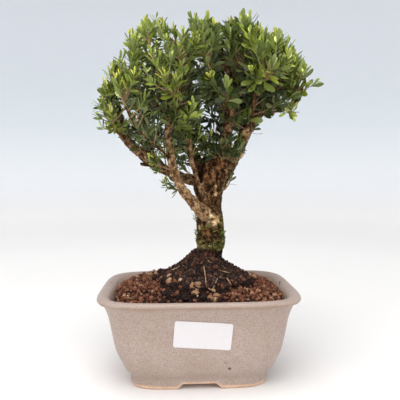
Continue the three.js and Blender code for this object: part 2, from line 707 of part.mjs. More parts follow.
function plannedSprays(trunkPath, limbPaths) {
  const lowSpray = ([across, up, depth, pairs]) => {
    const tip = real([across, up, depth, 0]).at;
    return { tip, foot: footFor(tip, [trunkPath, ...limbPaths]), pairs };
  };
  const sprays = [...limbPaths.map(leader), ...LOW_SPRAYS.map(lowSpray)];
  for (const tip of domeTips()) {
    if (sprays.some((other) => other.tip.distanceTo(tip) < TIP_SPACING)) continue;
    sprays.push({ tip, foot: footFor(tip, limbPaths), pairs: PAIRS });
  }
  sprays.push(...FILL_SPRAYS.map(lowSpray));
  return sprays.slice(0, MOST_SPRAYS).map((spray, id) => ({ ...spray, id }));
}

function overlaps(solid, others) {
  return others.some((other) => solid.intersect(other).volume() > 1e-3);
}

// A spray's fork, rolled round its main twig until it crosses nothing.
function makeFork(curve, share, id, obstacles) {
  for (let tried = 0; tried < FORK_TRIES; tried++) {
    const roll = 2 * Math.PI * chance(id, 21) + tried * GOLDEN_ANGLE;
    const plan = twigPlan(forkCurve(curve, share, roll), 0.8 * TWIG.radius, FORK.pairs, id);
    const { at } = plan.rings[plan.rings.length - 1];
    if (inCrown(at) && !overlaps(bareTwig(plan), obstacles)) return twigSolid(plan, obstacles);
  }
  return null;
}

// A spray as one solid. Its twig starts clear of the wood and is bent aside where it would
// cross the wood or another spray, and leaves that would cross anything are left off.
function makeSpray({ id, tip, foot, pairs }, obstacles) {
  for (let tried = 0; tried < TRIES; tried++) {
    const draw = (k) => chance(id, 80 + 3 * tried + k) - 0.5;
    const aside = vector(draw(0), draw(1), draw(2)).multiplyScalar(ASIDE * tried);
    const curve = mainCurve({ foot, tip: tip.clone().add(aside) }, GAP * (1 + tried / 4));
    const plan = twigPlan(curve, TWIG.radius, pairs, id);
    if (overlaps(bareTwig(plan), obstacles)) continue;
    let { solid, grown } = twigSolid(plan, obstacles);
    const forks = chance(id, 23) < FORK.share ? FORK.places.length : 1;
    FORK.places.slice(0, pairs === PAIRS ? forks : 0).forEach((share, k) => {
      const fork = makeFork(curve, share, id + FORK_SEED * (k + 1), [...obstacles, ...grown]);
      if (!fork) return;
      solid = solid.add(fork.solid);
      grown = [...grown, ...fork.grown];
    });
    return solid;
  }
  return null;
}

const trunkPath = framed(TRUNK.map(real));
const limbPaths = Object.values(LIMBS).map((rows) => framed(rows.map(real)));
const stubPath = framed(STUB.map(real));
const wood = makeWood(trunkPath, [...limbPaths, stubPath]);
const bonsai = new THREE.Group();
bonsai.name = "boxwood_bonsai";
bonsai.add(piece("pot", makePot(), "pot"));
bonsai.add(piece("drain_screen_left", makeScreen(-DRAIN_HOLE_X), "screen"));
bonsai.add(piece("drain_screen_right", makeScreen(DRAIN_HOLE_X), "screen"));
bonsai.add(piece("label", makeLabel(), "label"));
bonsai.add(piece("granule_bed", makeBed(), "granules"));
bonsai.add(piece("root_ball", solidOf(loft(ballRings(0))).subtract(trunkHole(trunkPath)), "peat"));
bonsai.add(piece("trunk_and_limbs", wood, "wood"));

const obstacles = [wood];
for (const spray of plannedSprays(trunkPath, limbPaths)) {
  const solid = makeSpray(spray, obstacles);
  if (!solid) continue;
  obstacles.push(solid);
  bonsai.add(piece("spray_" + String(spray.id + 1).padStart(2, "0"), solid, "leaf"));
}

const box = new THREE.Box3().setFromObject(bonsai);
bonsai.position.set(-(box.min.x + box.max.x) / 2, -(box.min.y + box.max.y) / 2, -box.min.z);

export default bonsai;
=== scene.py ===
import math

import bpy
import numpy as np
from mathutils import Matrix, Vector, noise


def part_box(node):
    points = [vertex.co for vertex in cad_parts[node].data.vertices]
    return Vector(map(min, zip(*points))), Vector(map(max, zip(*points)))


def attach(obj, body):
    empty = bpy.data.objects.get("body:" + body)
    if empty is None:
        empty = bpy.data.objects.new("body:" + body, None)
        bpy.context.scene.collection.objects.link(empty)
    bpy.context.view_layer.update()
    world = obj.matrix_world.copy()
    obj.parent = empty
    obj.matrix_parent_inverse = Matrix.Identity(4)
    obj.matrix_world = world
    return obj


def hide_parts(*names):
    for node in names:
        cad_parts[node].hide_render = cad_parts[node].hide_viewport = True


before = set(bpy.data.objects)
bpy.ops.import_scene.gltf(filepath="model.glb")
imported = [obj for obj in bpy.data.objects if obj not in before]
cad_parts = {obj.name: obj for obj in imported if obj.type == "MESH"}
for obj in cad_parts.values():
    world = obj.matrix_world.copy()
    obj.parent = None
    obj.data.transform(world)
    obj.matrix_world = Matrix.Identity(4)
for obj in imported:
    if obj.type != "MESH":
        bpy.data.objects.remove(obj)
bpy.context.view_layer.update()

# Blender's vector noise starts from the clock unless it is given a seed
NOISE_SEED = 5
noise.seed_set(NOISE_SEED)

# The shapes are worked out in millimetres round the pot's centre at table height.
MM = 0.001
pot_low, pot_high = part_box("pot")
ORIGIN = Vector(((pot_low.x + pot_high.x) / 2, (pot_low.y + pot_high.y) / 2, pot_low.z))

# Pot: half sizes of the rim and rows of height and half width
RIM_HALF_WIDTH = 75
RIM_HALF_DEPTH = 53
CORNER_POWER = 5
DEPTH_TAPER = 0.9
POT_SIDES = 160
FOOT_ROWS = [(0, 50.7), (0.4, 51.4), (1.2, 51.8), (3, 52), (6, 52.1), (7.4, 52.2)]
WALL_ROWS = [
    (8.4, 52.5), (9.6, 53.2), (11.4, 54.7), (14, 56.7), (20, 59.3), (28, 62.4), (40, 64.8), (54, 67.4),
    (61.5, 70), (64.2, 71.6),
]
LIP_ROWS = [
    (64.7, 72.8), (65.5, 74.1), (67, 75), (68.2, 74.7), (69.1, 73.5), (69.4, 71.8), (69.1, 69.8),
    (68, 67.9),
]
INNER_ROWS = [(65.6, 65.8), (61, 63.8), (38, 58.8), (20, 53), (12, 46.4), (11, 45.5)]
UNDERSIDE_ROWS = [(5, 43), (1, 43.6), (0.3, 44), (0, 44.6)]
FLOOR_UNDERSIDE = 5
FOOT_NOTCH = {"height": 4.4, "half_top": 12.4, "half_bottom": 16.6}
SIDE_NOTCH = {"height": 4, "half_top": 7.5, "half_bottom": 11}
DRAIN_HOLE = {"radius": 5, "x": 22, "from_z": -2, "to_z": 14, "sides": 32}
# Millimetres between rows on the underside, the foot and the wall
ROW_STEPS = (1, 0.7, 1.6)
# The glaze ends at a height over the foot's edge and at a distance round each notch, within a fade
GLAZE_END = {"height": 3.1, "round_notch": 1.5, "fade": 0.9}
# Half sizes of the recess under the floor, and how far out the foot's own sides begin
RECESS = {"half_width": 43.5, "half_depth": 24.5}
FOOT_SIDES = {"x": 40, "y": 22}
WALL_WAVES = {"size": 26, "height": 0.35}

LABEL = {
    "width": 40.6, "height": 20, "corner": 1.6, "thickness": 0.25, "x": 1.6, "z": 44.9, "tilt": 4.2,
    "off_wall": 0.3, "corner_lift": 0.5, "ripple": 0.05,
}
LABEL_RINGS = (0.01, 0.3, 0.6, 0.85, 1)

# Soil: the heap of granules and the peat ball, with rows of height, half width and half depth
BED_EDGE_HEIGHT = 64
BED_RISE = 17.5
BED_HALF_WIDTH = 68
BED_HALF_DEPTH = 47
BED_SIDES = [(11.3, 43), (20, 50), (38, 56.5), (BED_EDGE_HEIGHT - 2, 62.9)]
BED_RINGS = (1, 0.97, 0.93, 0.88, 0.82, 0.76, 0.69, 0.62, 0.54, 0.46, 0.37, 0.28, 0.18, 0.08)
GRAINS = {"pitch": 2.9, "sizes": (0.8, 2.1), "half_width": 62.6, "half_depth": 41.4, "sunk": 1.3}
# Each layer of loose grains: the share of its places that it fills, and its grains' scale
GRAIN_LAYERS = [(1, 0.9), (0.8, 0.9), (0.4, 1.1)]
LAYER_STEP = 0.85
# The near-black tone of peat on grains, also given to the soil's skin as painted shade in the gaps between
# the grains
PEAT_AND_GAP_SHADE_TONE = 0.02
# Peat that has run down over the grains in front of the ball
SPILT_PEAT = {"x": -7, "y": -33, "half_width": 27, "half_depth": 10}
ROOT_BALL = [
    (22, 22, 15), (34, 29, 20), (66, 37, 30), (76, 36, 31), (79.5, 31, 28.5), (81.5, 27.5, 25.5),
    (83.6, 23.4, 22.3), (85.8, 19.6, 19.2), (88.3, 15.9, 16), (91.2, 12.6, 12.9), (94.5, 10.6, 10.8),
    (98.5, 8.7, 8.8),
]
# The ball's middle moves over to the trunk near the top
BALL_MIDDLE_Z = (91, 95, 99)
BALL_MIDDLE_X = (4.5, 5.6, 9.8)
# Lumps of clay as seen from EYE: across, up, size and tone
LUMPS = [
    (-22.6, 72.6, 4, 0.6), (-22.8, 76.6, 3, 0.66), (-21.4, 70, 2.6, 0.4), (-13.6, 72.8, 2.1, 0.8),
    (-3.8, 67.6, 3.8, 0.3), (0.2, 69, 2.8, 0.34), (-2.2, 62.6, 3.4, 0.4), (-1.2, 65, 2.2, 0.36),
    (15, 59.8, 3, 0.3), (9.6, 58.6, 2.8, 0.22), (12.6, 64, 2, 0.5), (-0.4, 60.4, 1.2, 1),
    (-58.6, 61, 1.7, 0.9), (-55.4, 60.6, 1.2, 0.8), (-45, 68.6, 2.6, 0.3), (34, 75, 2.4, 0.2),
    (53, 67, 1.8, 0.3),
]
# Fine roots that show on the mound, as seen from EYE
ROOT_TRACES = [
    [(4.5, 93.5), (6, 90.5), (8.5, 87.6), (11.5, 86)], [(5, 83), (5.6, 77), (6.4, 71), (7.6, 66.5)],
    [(7.6, 66.2), (10, 64.6), (12.4, 66), (14.4, 70), (16, 74)],
    [(-20.4, 80.6), (-17, 82.4), (-13.8, 84)], [(23, 73.5), (25, 70.8), (26.8, 68)],
    [(18, 80), (22, 78.4), (26, 78)], [(66, 71), (64.5, 68), (64.8, 65.5)],
]

# Wood. A point is given as it looks from EYE in the plane of the trunk: how far across, how
# high, its real depth behind that plane, and the radius that it looks to have.
EYE = {"x": -15, "distance": 336, "z": 155.5}
TRUNK = [
    (9, 60, 0, 7.6), (9.4, 82, 0, 8.2), (9.8, 92, 0, 8.8), (10, 99, 0, 10.5),
    (10.1, 106, 0, 11.2), (9.7, 117, 0, 10.5), (9.2, 129, 0, 9.4), (9.2, 138, 0, 9.6),
    (8.6, 147, 1, 11.4), (10, 156, 2, 11.6), (12, 164, 3, 9.6), (15.5, 170, 4, 6),
]
STUB = [(-33, 164, 14, 2.2), (-39, 164, 12, 1.6), (-45, 165, 10, 1)]
LIMBS = {
    "tanFront": [
        (11, 121, -4, 5.6), (4.6, 126.2, -9, 5.2), (-2.6, 133.4, -13, 4.3), (-9.5, 141.4, -17, 3.7),
        (-15.4, 151, -19, 3.3), (-18.8, 161, -21, 3.2), (-21, 172, -23, 3.2), (-22.5, 185, -25, 3),
        (-23.5, 200, -27, 2.9), (-25, 214, -29, 2.5), (-28, 228, -31, 2.1), (-33, 240, -31, 1.6),
        (-36, 251, -29, 1.2),
    ],
    "tanSide": [(-24, 203, -27, 1.9), (-31, 208, -32, 1.6), (-39, 214, -36, 1.3), (-46, 222, -39, 1)],
    "tanInner": [(-23, 192, -26, 1.8), (-17, 204, -32, 1.5), (-14, 217, -38, 1.3), (-14, 231, -41, 1)],
    "frontLeft": [
        (-20, 168, -22, 1.3), (-31, 177, -32, 1), (-42, 187, -40, 0.9), (-51, 198, -45, 0.8),
        (-56, 209, -47, 0.7),
    ],
    "lowLeft": [
        (6, 151.5, 6, 5.4), (-6, 152.6, 11, 4.2), (-18, 156.6, 14, 4), (-30, 162.6, 14, 4),
        (-41, 170.4, 13, 4), (-50, 178.4, 11, 3.8), (-57.5, 186.2, 8, 3.1), (-59.5, 197, 5, 2.3),
        (-61, 208, 3, 1.9), (-64, 218, 1, 1.5), (-65, 228, 0, 1.1),
    ],
    "lowLeftTip": [(-57, 186, 8, 2.2), (-62, 190, 5, 1.9), (-66, 195, 2, 1.5), (-67, 202, 0, 1)],
    "lowLeftShoot": [
        (-34, 166, 13, 1.9), (-36.5, 177, 8, 1.6), (-38.5, 189, 3, 1.3), (-43, 201, -1, 1),
    ],
    "backLeft": [
        (-26, 160, 14, 2.9), (-36, 172, 27, 2.5), (-46, 187, 36, 2), (-53, 204, 41, 1.5),
        (-57, 220, 42, 1),
    ],
    "middle": [
        (9, 131, -6, 2.4), (3, 143, -9.5, 2), (-2, 156, -12, 1.9), (-5, 170, -15, 1.7),
        (-6.5, 185, -18, 1.6), (-7, 201, -22, 1.4), (-8, 217, -25, 1),
    ],
    "crown": [
        (6, 157, 5, 4.6), (-2, 171, 9, 3.6), (-7, 185, 9, 3.2), (-8, 198, 7, 3), (-9, 213, 4, 2.7),
        (-9, 231, 0, 2.2), (-12, 243, -3, 1.6), (-15, 252, -4, 1.1),
    ],
    "crownLeft": [
        (-8, 198, 7, 2.4), (-19, 211, 12, 2.2), (-31, 226, 14, 1.8), (-41, 236, 12, 1.5),
        (-47, 245, 8, 1),
    ],
    "backTop": [
        (5, 158, 9, 4.2), (-4, 173, 18, 3.6), (-11, 187, 26, 3.3), (-17, 202, 31, 3), (-24, 221, 35, 2.5),
        (-29, 237, 35, 1.8), (-31, 249, 31, 1.1),
    ],
    "right": [
        (11, 141, 1, 7), (16.2, 152, 2, 7.2), (23.4, 163, 2, 6.1), (30, 173, 1, 5.2), (35.2, 185, -1, 4.6),
        (42, 197, -4, 4.4), (50, 206, -6, 3.7), (59, 208, -7, 3.2), (68, 209, -7, 2.6),
        (76, 213, -6, 2), (81, 220, -4, 1.5), (83, 229, -2, 1),
    ],
    "rightUp": [
        (43, 198, -4, 3), (49, 213, 3, 2.5), (55, 227, 8, 2), (60, 239, 9, 1.5), (62, 248, 8, 1),
    ],
    "rightFront": [(55, 207, -7, 2.2), (60, 218, -16, 1.9), (65, 229, -23, 1.5), (67, 239, -26, 1)],
    "rightOver": [
        (37, 186, -1, 2.6), (41, 201, -12, 2.2), (45, 217, -23, 1.8), (47, 230, -31, 1.4),
        (48, 241, -34, 1),
    ],
    "rightBack": [
        (29, 170, 2, 3.6), (37, 184, 16, 3.1), (46, 201, 28, 2.5), (55, 218, 36, 1.9),
        (61, 231, 38, 1.4), (62, 241, 36, 1),
    ],
    "centre": [
        (17, 163, -1, 5.8), (21.5, 176, -5, 4.4), (23.5, 190, -8, 3.8), (25.5, 204, -11, 3.4),
        (26, 217, -13, 3.1), (25.5, 229, -15, 2.7), (22, 242, -17, 2), (18, 249, -18, 1.5),
        (15, 255, -17, 1),
    ],
    "centreFork": [(26, 226, -15, 2), (29.5, 240, -15, 1.7), (31, 249, -13, 1.3), (32, 256, -10, 1)],
    "centreThin": [(26.5, 212, -13, 1.6), (31, 221, -18, 1.3), (33, 231, -24, 1)],
    "centreFront": [(25.5, 201, -10, 1.7), (19, 214, -22, 1.5), (13, 226, -32, 1.2), (9, 238, -38, 1)],
    "back": [
        (15, 160, 7, 4.8), (19, 177, 18, 4), (21, 195, 28, 3.5), (18, 214, 36, 2.9),
        (14, 233, 40, 2.1), (11, 246, 38, 1.5), (9, 254, 33, 1),
    ],
}
# The share of a thin limb that has leaf pairs, where it isn't all of it
LEAFY_SHARES = {"frontLeft": 0.65}
# How tan a limb's bark is, from 0 for the trunk's red-brown
TAN_LIMBS = {
    "tanFront": 1, "tanSide": 0.8, "tanInner": 0.7, "frontLeft": 0.05, "right": 0.4, "centre": 0.5,
    "centreFork": 0.5, "lowLeft": 0.55, "lowLeftTip": 0.6, "middle": 0.6,
}
TRUNK_TAN = 0.05
OTHER_LIMBS_TAN = 0.2
WOOD_VOXEL = 0.86
# Pale and rusty patches of bark: across, up, depth, size and strength
PALE_PATCHES = [
    (13.4, 119.8, -10, 3, 1), (12, 123.6, -11, 3.3, 1), (10.8, 127, -11, 2.4, 0.8),
    (8, 122, -12, 3.4, 0.4), (6.5, 127, -14, 1.6, 0.6), (3.4, 117, -8, 1.6, 0.8),
    (4, 149, -8, 1.2, 0.8), (14, 148, -9, 1, 0.9), (14, 141, -9, 1.1, 0.9), (20.5, 145, -4, 1.8, 0.7),
    (1.5, 115, -6, 1.6, 0.8), (35, 171, 0, 3, 0.7), (41, 184, -2, 3, 0.6), (35, 178, -6, 3, 0.6),
    (38, 190, -6, 3, 0.6), (30, 168, -5, 2.4, 0.5),
]
RUST_PATCHES = [
    (4.5, 112, -10, 4.2, 0.9), (18, 166, -8, 5, 0.5), (3, 108, -10, 3, 0.6), (9, 158, -9, 7, 0.3),
]

# Leafy sprays, planned as they are in the frame's solids
DOMES = [
    {"centre": (-29, 0, 218), "radii": (42, 54, 46), "tips": 90},
    {"centre": (38, 0, 230), "radii": (42, 52, 38), "tips": 80},
    {"centre": (3, 0, 226), "radii": (34, 50, 41), "tips": 60},
]
DOME_FLOOR = -0.62
DOME_RELIEF = 0.1
DOME_OVERLAP = 0.92
CROWN_MARGIN = 1.06
TIP_SPACING = 23.5
WINDOWS = [(0, 20, 178, 212), (-12, 2, 138, 152), (-21, -9, 158, 172)]
LOW_SPRAYS = [
    (-43, 157, 6, 2), (-27, 147, -6, 2), (31, 150, -4, 1), (30, 178, -18, 2), (53, 196, -12, 2),
    (74, 202, -8, 2), (-8, 125, -4, 1), (24, 112, -9, 1), (-6, 110, -9, 1),
]
FILL_SPRAYS = [(-34, 168, -10, 2), (-6, 176, -10, 2), (6, 182, 4, 2)]
TWIG = {"bend": 0.45, "leader": 15, "shortest": 8}
FOOT_DROP = {"least": 6, "cost": 1.5}
FORK = {"length": 12, "angle": 58, "lift": 3}
FORK_PLACES = (0.45, 0.7, 0.3, 0.58, 0.84, 0.2, 0.93, 0.38, 0.64)
# Sparse dark shoots at the back of the gaps: across, up, depth and leaf pairs
GAP_SHOOTS = [
    (3, 187, 22, 2), (11, 192, 24, 2), (1, 198, 20, 2), (15, 184, 20, 1), (8, 206, 24, 2),
    (17, 203, 18, 1), (0, 177, 16, 2), (12, 176, 18, 2), (6, 170, 14, 2), (18, 193, 22, 1),
    (9, 168, -2, 2), (15, 171, -5, 2), (20, 171, -12, 2), (18, 180, -14, 2), (13, 175, 3, 2),
    (-13, 168, -6, 1), (-10, 161, -8, 1), (-16, 164, -10, 1), (-8, 172, -10, 2),
]
# Twigs past the last limbs at the crown's left and right edges, with young leaves
EDGE_SHOOTS = [
    (-69, 199, 2, 1), (-73, 212, 2, 2), (-73, 206, -2, 1), (-70, 193, 4, 1), (-72, 219, -3, 1),
    (85, 227, -4, 1),
]
# Where no scene-only leaf hides a limb: across from and to, up from and to, depth
CLEARINGS = [
    (13, 36, 203, 248, -12), (27, 50, 158, 194, 60), (-62, -44, 196, 213, 60), (-36, -21, 168, 182, 60),
]
# The crown's edge as seen from EYE, the middle that its bearings are taken from, and the
# bearings in radians between which it is open below
OUTLINE_MIDDLE = (0, 215)
OPEN_BEARINGS = (-2.35, -1.15)
OUTLINE = [
    (-45, 168), (-63, 188), (-80, 192), (-83, 208), (-81, 221), (-74, 230), (-70, 239), (-66, 243),
    (-56, 245), (-55, 254), (-59, 264), (-50, 269), (-44, 278), (-36, 284), (-29, 280), (-23, 274),
    (-9, 274), (-6, 281), (8, 288), (26, 288), (41, 285), (47, 278), (53, 264), (61, 256), (69, 268),
    (75, 266), (80, 256), (83, 247), (89, 240), (88, 232), (84, 223), (81, 215), (68, 210), (51, 204),
    (44, 190), (33, 169), (27, 154),
]
# Each fork's seed is its spray's own and this much more for every fork before it and itself
FORK_SEED = 500
# The leaf pairs that the solids give a full spray
MAIN_PAIRS = 3
GOLDEN_ANGLE = math.pi * (3 - math.sqrt(5))
# The first seed of each group of shoots that only the scene has
SHOOT_SEEDS = {"gaps": 2500, "edge": 2600, "inner": 3000, "seedlings": 4000}
SEEDS_FOR_LIMB = 40
# Radius at the foot and at the tip of each kind of twig
TWIG_RADII = {
    "main": (0.85, 0.45), "fork": (0.55, 0.4), "tuft": (0.4, 0.28), "low": (0.4, 0.25),
    "shoot": (0.6, 0.4), "side_shoot": (0.5, 0.35),
}
TWIG_SIDES = 5

# One leaf: shares of its length, its half width there, and columns across it
LEAF = {"length": 10.8, "width": 3.9, "thickness": 0.28}
STATIONS = np.array([0, 0.14, 0.34, 0.56, 0.76, 0.92, 1])
HALF_WIDTHS = np.array([0.13, 0.28, 0.7, 0.97, 0.98, 0.66, 0.17])
COLUMNS = np.array([-1, 0, 1])
# By pairs back from a twig's tip: the leaves' size, their lean in degrees and how far they share
# the tip's own age
PAIR_SIZES = (0.74, 0.88, 1)
PAIR_LEANS = (22, 44, 50, 56, 62)
TIP_AGE_SHARES = (1, 0.6, 0.2, 0)
# Seedlings on the trunk as seen from EYE: across, up, how far they spread and leaves
SEEDLINGS = [
    (-1.2, 107, 4, 3), (-2, 113, 2.5, 3), (7.4, 115.8, 1.2, 4), (16.6, 111.5, 6, 6), (17.6, 103, 6, 5),
    (19.3, 102, 3, 3),
]

# The seeds of each loose covering's random numbers and of the stones in it
SEEDS = {
    "grains": 11, "grain_stones": 20, "peat": 31, "peat_stones": 32, "crumbs": 35, "crumb_stones": 36,
    "roots": 41, "lump_stones": 51, "scattered": 52, "scattered_stones": 53, "moss": 61, "moss_stones": 62,
}


def chance(first, second):
    """A number from 0 to 1 that depends on nothing but the two whole numbers given."""
    mask = 0xFFFFFFFF
    h = ((first + 1) * 0x9E3779B1 ^ (second + 7) * 0x85EBCA6B) & mask
    h = (h ^ h >> 15) * 0x2C1B3C6D & mask
    h = (h ^ h >> 12) * 0x297A2D39 & mask
    return (h ^ h >> 15) / 4294967296


def random_numbers(seed):
    return np.random.default_rng(seed)


class Shape:
    """Points and faces gathered from many small forms, with what each point carries."""

    def __init__(self, *value_names):
        self.points = []
        self.count = 0
        self.faces = []
        self.slots = []
        self.values = {name: [] for name in value_names}

    def add(self, points, *face_groups, slot=0, **values):
        points = np.asarray(points, float).reshape(-1, 3)
        for group in face_groups:
            self.add_faces(group, self.count, slot)
        self.points.append(points)
        for name, gathered in self.values.items():
            value = np.asarray(values.get(name, 0), float).ravel()
            gathered.append(np.broadcast_to(value, (len(points),)))
        self.count += len(points)

    def add_faces(self, faces, first, slot):
        """Faces whose point numbers are counted on from the first given."""
        faces = (np.asarray(faces) + first).tolist()
        self.faces.extend(faces)
        self.slots.extend([slot] * len(faces))

    def mesh(self, name):
        mesh = bpy.data.meshes.new(name)
        points = np.concatenate(self.points) * MM + np.array(ORIGIN)
        mesh.from_pydata(points.tolist(), [], self.faces)
        mesh.polygons.foreach_set("material_index", self.slots)
        for key, gathered in self.values.items():
            add_values(mesh, key, np.concatenate(gathered))
        mesh.update()
        return mesh


def add_values(mesh, key, values):
    """A number for each point, which the materials read by name."""
    layer = mesh.attributes.new(key, "FLOAT", "POINT")
    layer.data.foreach_set("value", np.ascontiguousarray(values, np.float32))


def linked(name, data):
    """A new object in the scene that holds the data given."""
    made = bpy.data.objects.new(name, data)
    bpy.context.scene.collection.objects.link(made)
    return made


def make_piece(name, mesh, materials, smooth=True, crease=None):
    """A finished piece that rides on the object's one body."""
    for material in materials:
        mesh.materials.append(material)
    mesh.polygons.foreach_set("use_smooth", [smooth] * len(mesh.polygons))
    if crease is not None:
        mesh.set_sharp_from_angle(angle=math.radians(crease))
    piece = linked(name, mesh)
    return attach(piece, "root")


def positions(mesh):
    """A mesh's points in millimetres round the pot's centre."""
    found = np.empty(3 * len(mesh.vertices))
    mesh.vertices.foreach_get("co", found)
    return (found.reshape(-1, 3) - np.array(ORIGIN)) / MM


def move_points(mesh, points):
    mesh.vertices.foreach_set("co", (points * MM + np.array(ORIGIN)).ravel())
    mesh.update()


def modified(mesh, kind, **settings):
    """A copy of a mesh with one modifier applied."""
    holder = linked("holder", mesh)
    modifier = holder.modifiers.new("change", kind)
    for key, value in settings.items():
        setattr(modifier, key, value)
    depsgraph = bpy.context.evaluated_depsgraph_get()
    changed = bpy.data.meshes.new_from_object(holder.evaluated_get(depsgraph))
    bpy.data.objects.remove(holder)
    return changed


def real(point):
    """A point seen from EYE, moved along the line of sight to its real depth, and its radius."""
    across, up, depth, radius = point
    scale = (EYE["distance"] + depth) / EYE["distance"]
    x = EYE["x"] + (across - EYE["x"]) * scale
    z = EYE["z"] + (up - EYE["z"]) * scale
    return np.array([x, depth, z, radius * scale])


def seen(point):
    """Where a real point looks to be from EYE, across and up in the plane of the trunk."""
    scale = EYE["distance"] / (EYE["distance"] + point[1])
    return (EYE["x"] + (point[0] - EYE["x"]) * scale, EYE["z"] + (point[2] - EYE["z"]) * scale)


def loft(rings):
    """Points and faces of a closed skin over rings that turn left about the way they go."""
    rings = np.asarray(rings, float)
    count, sides = rings.shape[:2]
    low = np.arange(count - 1)[:, None] * sides
    j = np.arange(sides)[None, :]
    k = (j + 1) % sides
    quads = np.stack([low + j, low + k, low + k + sides, low + j + sides], axis=-1).reshape(-1, 4)
    caps = [list(range(sides))[::-1], list(range((count - 1) * sides, count * sides))]
    return rings.reshape(-1, 3), quads, caps


def lofted(name, rings):
    shape = Shape()
    shape.add(*loft(rings))
    return shape.mesh(name)


def turns_round(sides):
    return 2 * np.pi * np.arange(sides) / sides


def noise_at(points, size):
    """Smooth noise of a size at each of many points, from about -1 to 1."""
    return np.array([noise.noise(Vector(point) / size) for point in points])


def clamped(value):
    return min(1, max(0, value))


def square_to(direction, roll):
    """A direction at right angles to another, rolled round it."""
    hint = Vector((0, 0, 1)) if abs(direction.z) < 0.9 else Vector((1, 0, 0))
    return Matrix.Rotation(roll, 3, direction) @ hint.cross(direction).normalized()


def framed(points, roll=0.0):
    """Each point of a path with its direction, a side and an up that turn as little as they can."""
    frames = []
    side = None
    for i, at in enumerate(points):
        along = (points[min(i + 1, len(points) - 1)] - points[max(i - 1, 0)]).normalized()
        side = square_to(along, roll) if side is None else side
        side = (side - along * side.dot(along)).normalized()
        frames.append((at, along, side, along.cross(side)))
    return frames


def tube(points, radii, sides):
    rings = []
    turns = turns_round(sides)
    for (at, _, side, up), radius in zip(framed(points), radii):
        rings.append([at + (side * math.cos(t) + up * math.sin(t)) * radius for t in turns])
    return loft(rings)


def around(rows, i):
    """The row before a place in a list, the two rows at its ends and the one after them."""
    return rows[max(i - 1, 0)], rows[i], rows[i + 1], rows[min(i + 2, len(rows) - 1)]


def smooth_path(knots, step):
    """Rows of x, y, z and radius on a smooth curve through the knots, a step apart."""
    knots = [real(knot) for knot in knots]
    rows = []
    for i in range(len(knots) - 1):
        before, start, end, after = around(knots, i)
        steps = max(1, round(float(np.linalg.norm((end - start)[:3])) / step))
        for t in np.arange(steps) / steps:
            rows.append(
                0.5 * (2 * start + (end - before) * t + (2 * before - 5 * start + 4 * end - after) * t**2
                       + (3 * start - before - 3 * end + after) * t**3)
            )
    rows.append(knots[-1])
    return np.array(rows)


# Materials


class Look:
    """A procedural material, built node by node round its shader."""

    def __init__(self, name, **settings):
        self.material = bpy.data.materials.new(name)
        self.material.use_nodes = True
        self.nodes = self.material.node_tree.nodes
        self.links = self.material.node_tree.links
        self.shader = self.nodes["Principled BSDF"]
        for key, value in settings.items():
            self.shader.inputs[key.replace("_", " ")].default_value = value
        self.where = self.add("ShaderNodeTexCoord").outputs["Object"]

    def add(self, kind, inputs=None, **settings):
        node = self.nodes.new(kind)
        for key, value in settings.items():
            setattr(node, key, value)
        for key, value in (inputs or {}).items():
            if isinstance(value, bpy.types.NodeSocket):
                self.links.new(value, node.inputs[key])
            else:
                node.inputs[key].default_value = value
        return node

    def stretched(self, *scale):
        return self.add("ShaderNodeMapping", {"Vector": self.where, "Scale": scale}).outputs["Vector"]

    def noise(self, scale, detail=3, roughness=0.55, distortion=0, where=None):
        inputs = {
            "Vector": where or self.where, "Scale": scale, "Detail": detail, "Roughness": roughness,
            "Distortion": distortion,
        }
        return self.add("ShaderNodeTexNoise", inputs).outputs["Fac"]

    def cells(self, scale):
        return self.add("ShaderNodeTexVoronoi", {"Vector": self.where, "Scale": scale}).outputs["Distance"]

    def height(self):
        return self.add("ShaderNodeSeparateXYZ", {"Vector": self.where}).outputs["Z"]

    def value(self, name):
        return self.add("ShaderNodeAttribute", attribute_name=name).outputs["Fac"]

    def between(self, fac, low, high, to_low=0, to_high=1):
        inputs = {"Value": fac, "From Min": low, "From Max": high, "To Min": to_low, "To Max": to_high}
        return self.add("ShaderNodeMapRange", inputs, interpolation_type="SMOOTHSTEP").outputs["Result"]

    def maths(self, operation, first, second):
        return self.add("ShaderNodeMath", {0: first, 1: second}, operation=operation).outputs[0]

    def times(self, first, second):
        return self.maths("MULTIPLY", first, second)

    def ramp(self, fac, *stops):
        node = self.add("ShaderNodeValToRGB", {"Fac": fac})
        elements = node.color_ramp.elements
        while len(elements) < len(stops):
            elements.new(0.5)
        for element, (place, colour) in zip(elements, stops):
            element.position = place
            element.color = (*colour, 1)
        return node.outputs["Color"]

    def mix(self, fac, first, second):
        node = self.add("ShaderNodeMix", data_type="RGBA", clamp_factor=True)
        for index, value in ((0, fac), (6, first), (7, second)):
            if isinstance(value, bpy.types.NodeSocket):
                self.links.new(value, node.inputs[index])
            else:
                node.inputs[index].default_value = (*value, 1) if index else value
        return node.outputs[2]

    def bump(self, height, strength, distance, under=None):
        inputs = {"Height": height, "Strength": strength, "Distance": distance * MM}
        if under is not None:
            inputs["Normal"] = under
        return self.add("ShaderNodeBump", inputs).outputs["Normal"]

    def finish(self, colour, roughness, normal):
        for socket, value in (("Base Color", colour), ("Roughness", roughness), ("Normal", normal)):
            self.links.new(value, self.shader.inputs[socket])
        return self.material

    def finish_grained(self, colour, grain, roughness, strength, distance):
        """A finish whose one grain sets both its roughness and its relief."""
        rough = self.between(grain, 0.3, 0.7, *roughness)
        return self.finish(colour, rough, self.bump(grain, strength, distance))


def spot(look, point, size):
    """1 within a size of a point, falling to 0 just outside it."""
    place = [point[i] * MM + ORIGIN[i] for i in range(3)]
    inputs = {0: look.where, 1: place}
    distance = look.add("ShaderNodeVectorMath", inputs, operation="DISTANCE").outputs["Value"]
    rough = look.maths("ADD", distance, look.times(look.noise(900), 0.5 * size * MM))
    return look.between(rough, 0.8 * size * MM, 1.5 * size * MM, 1, 0)


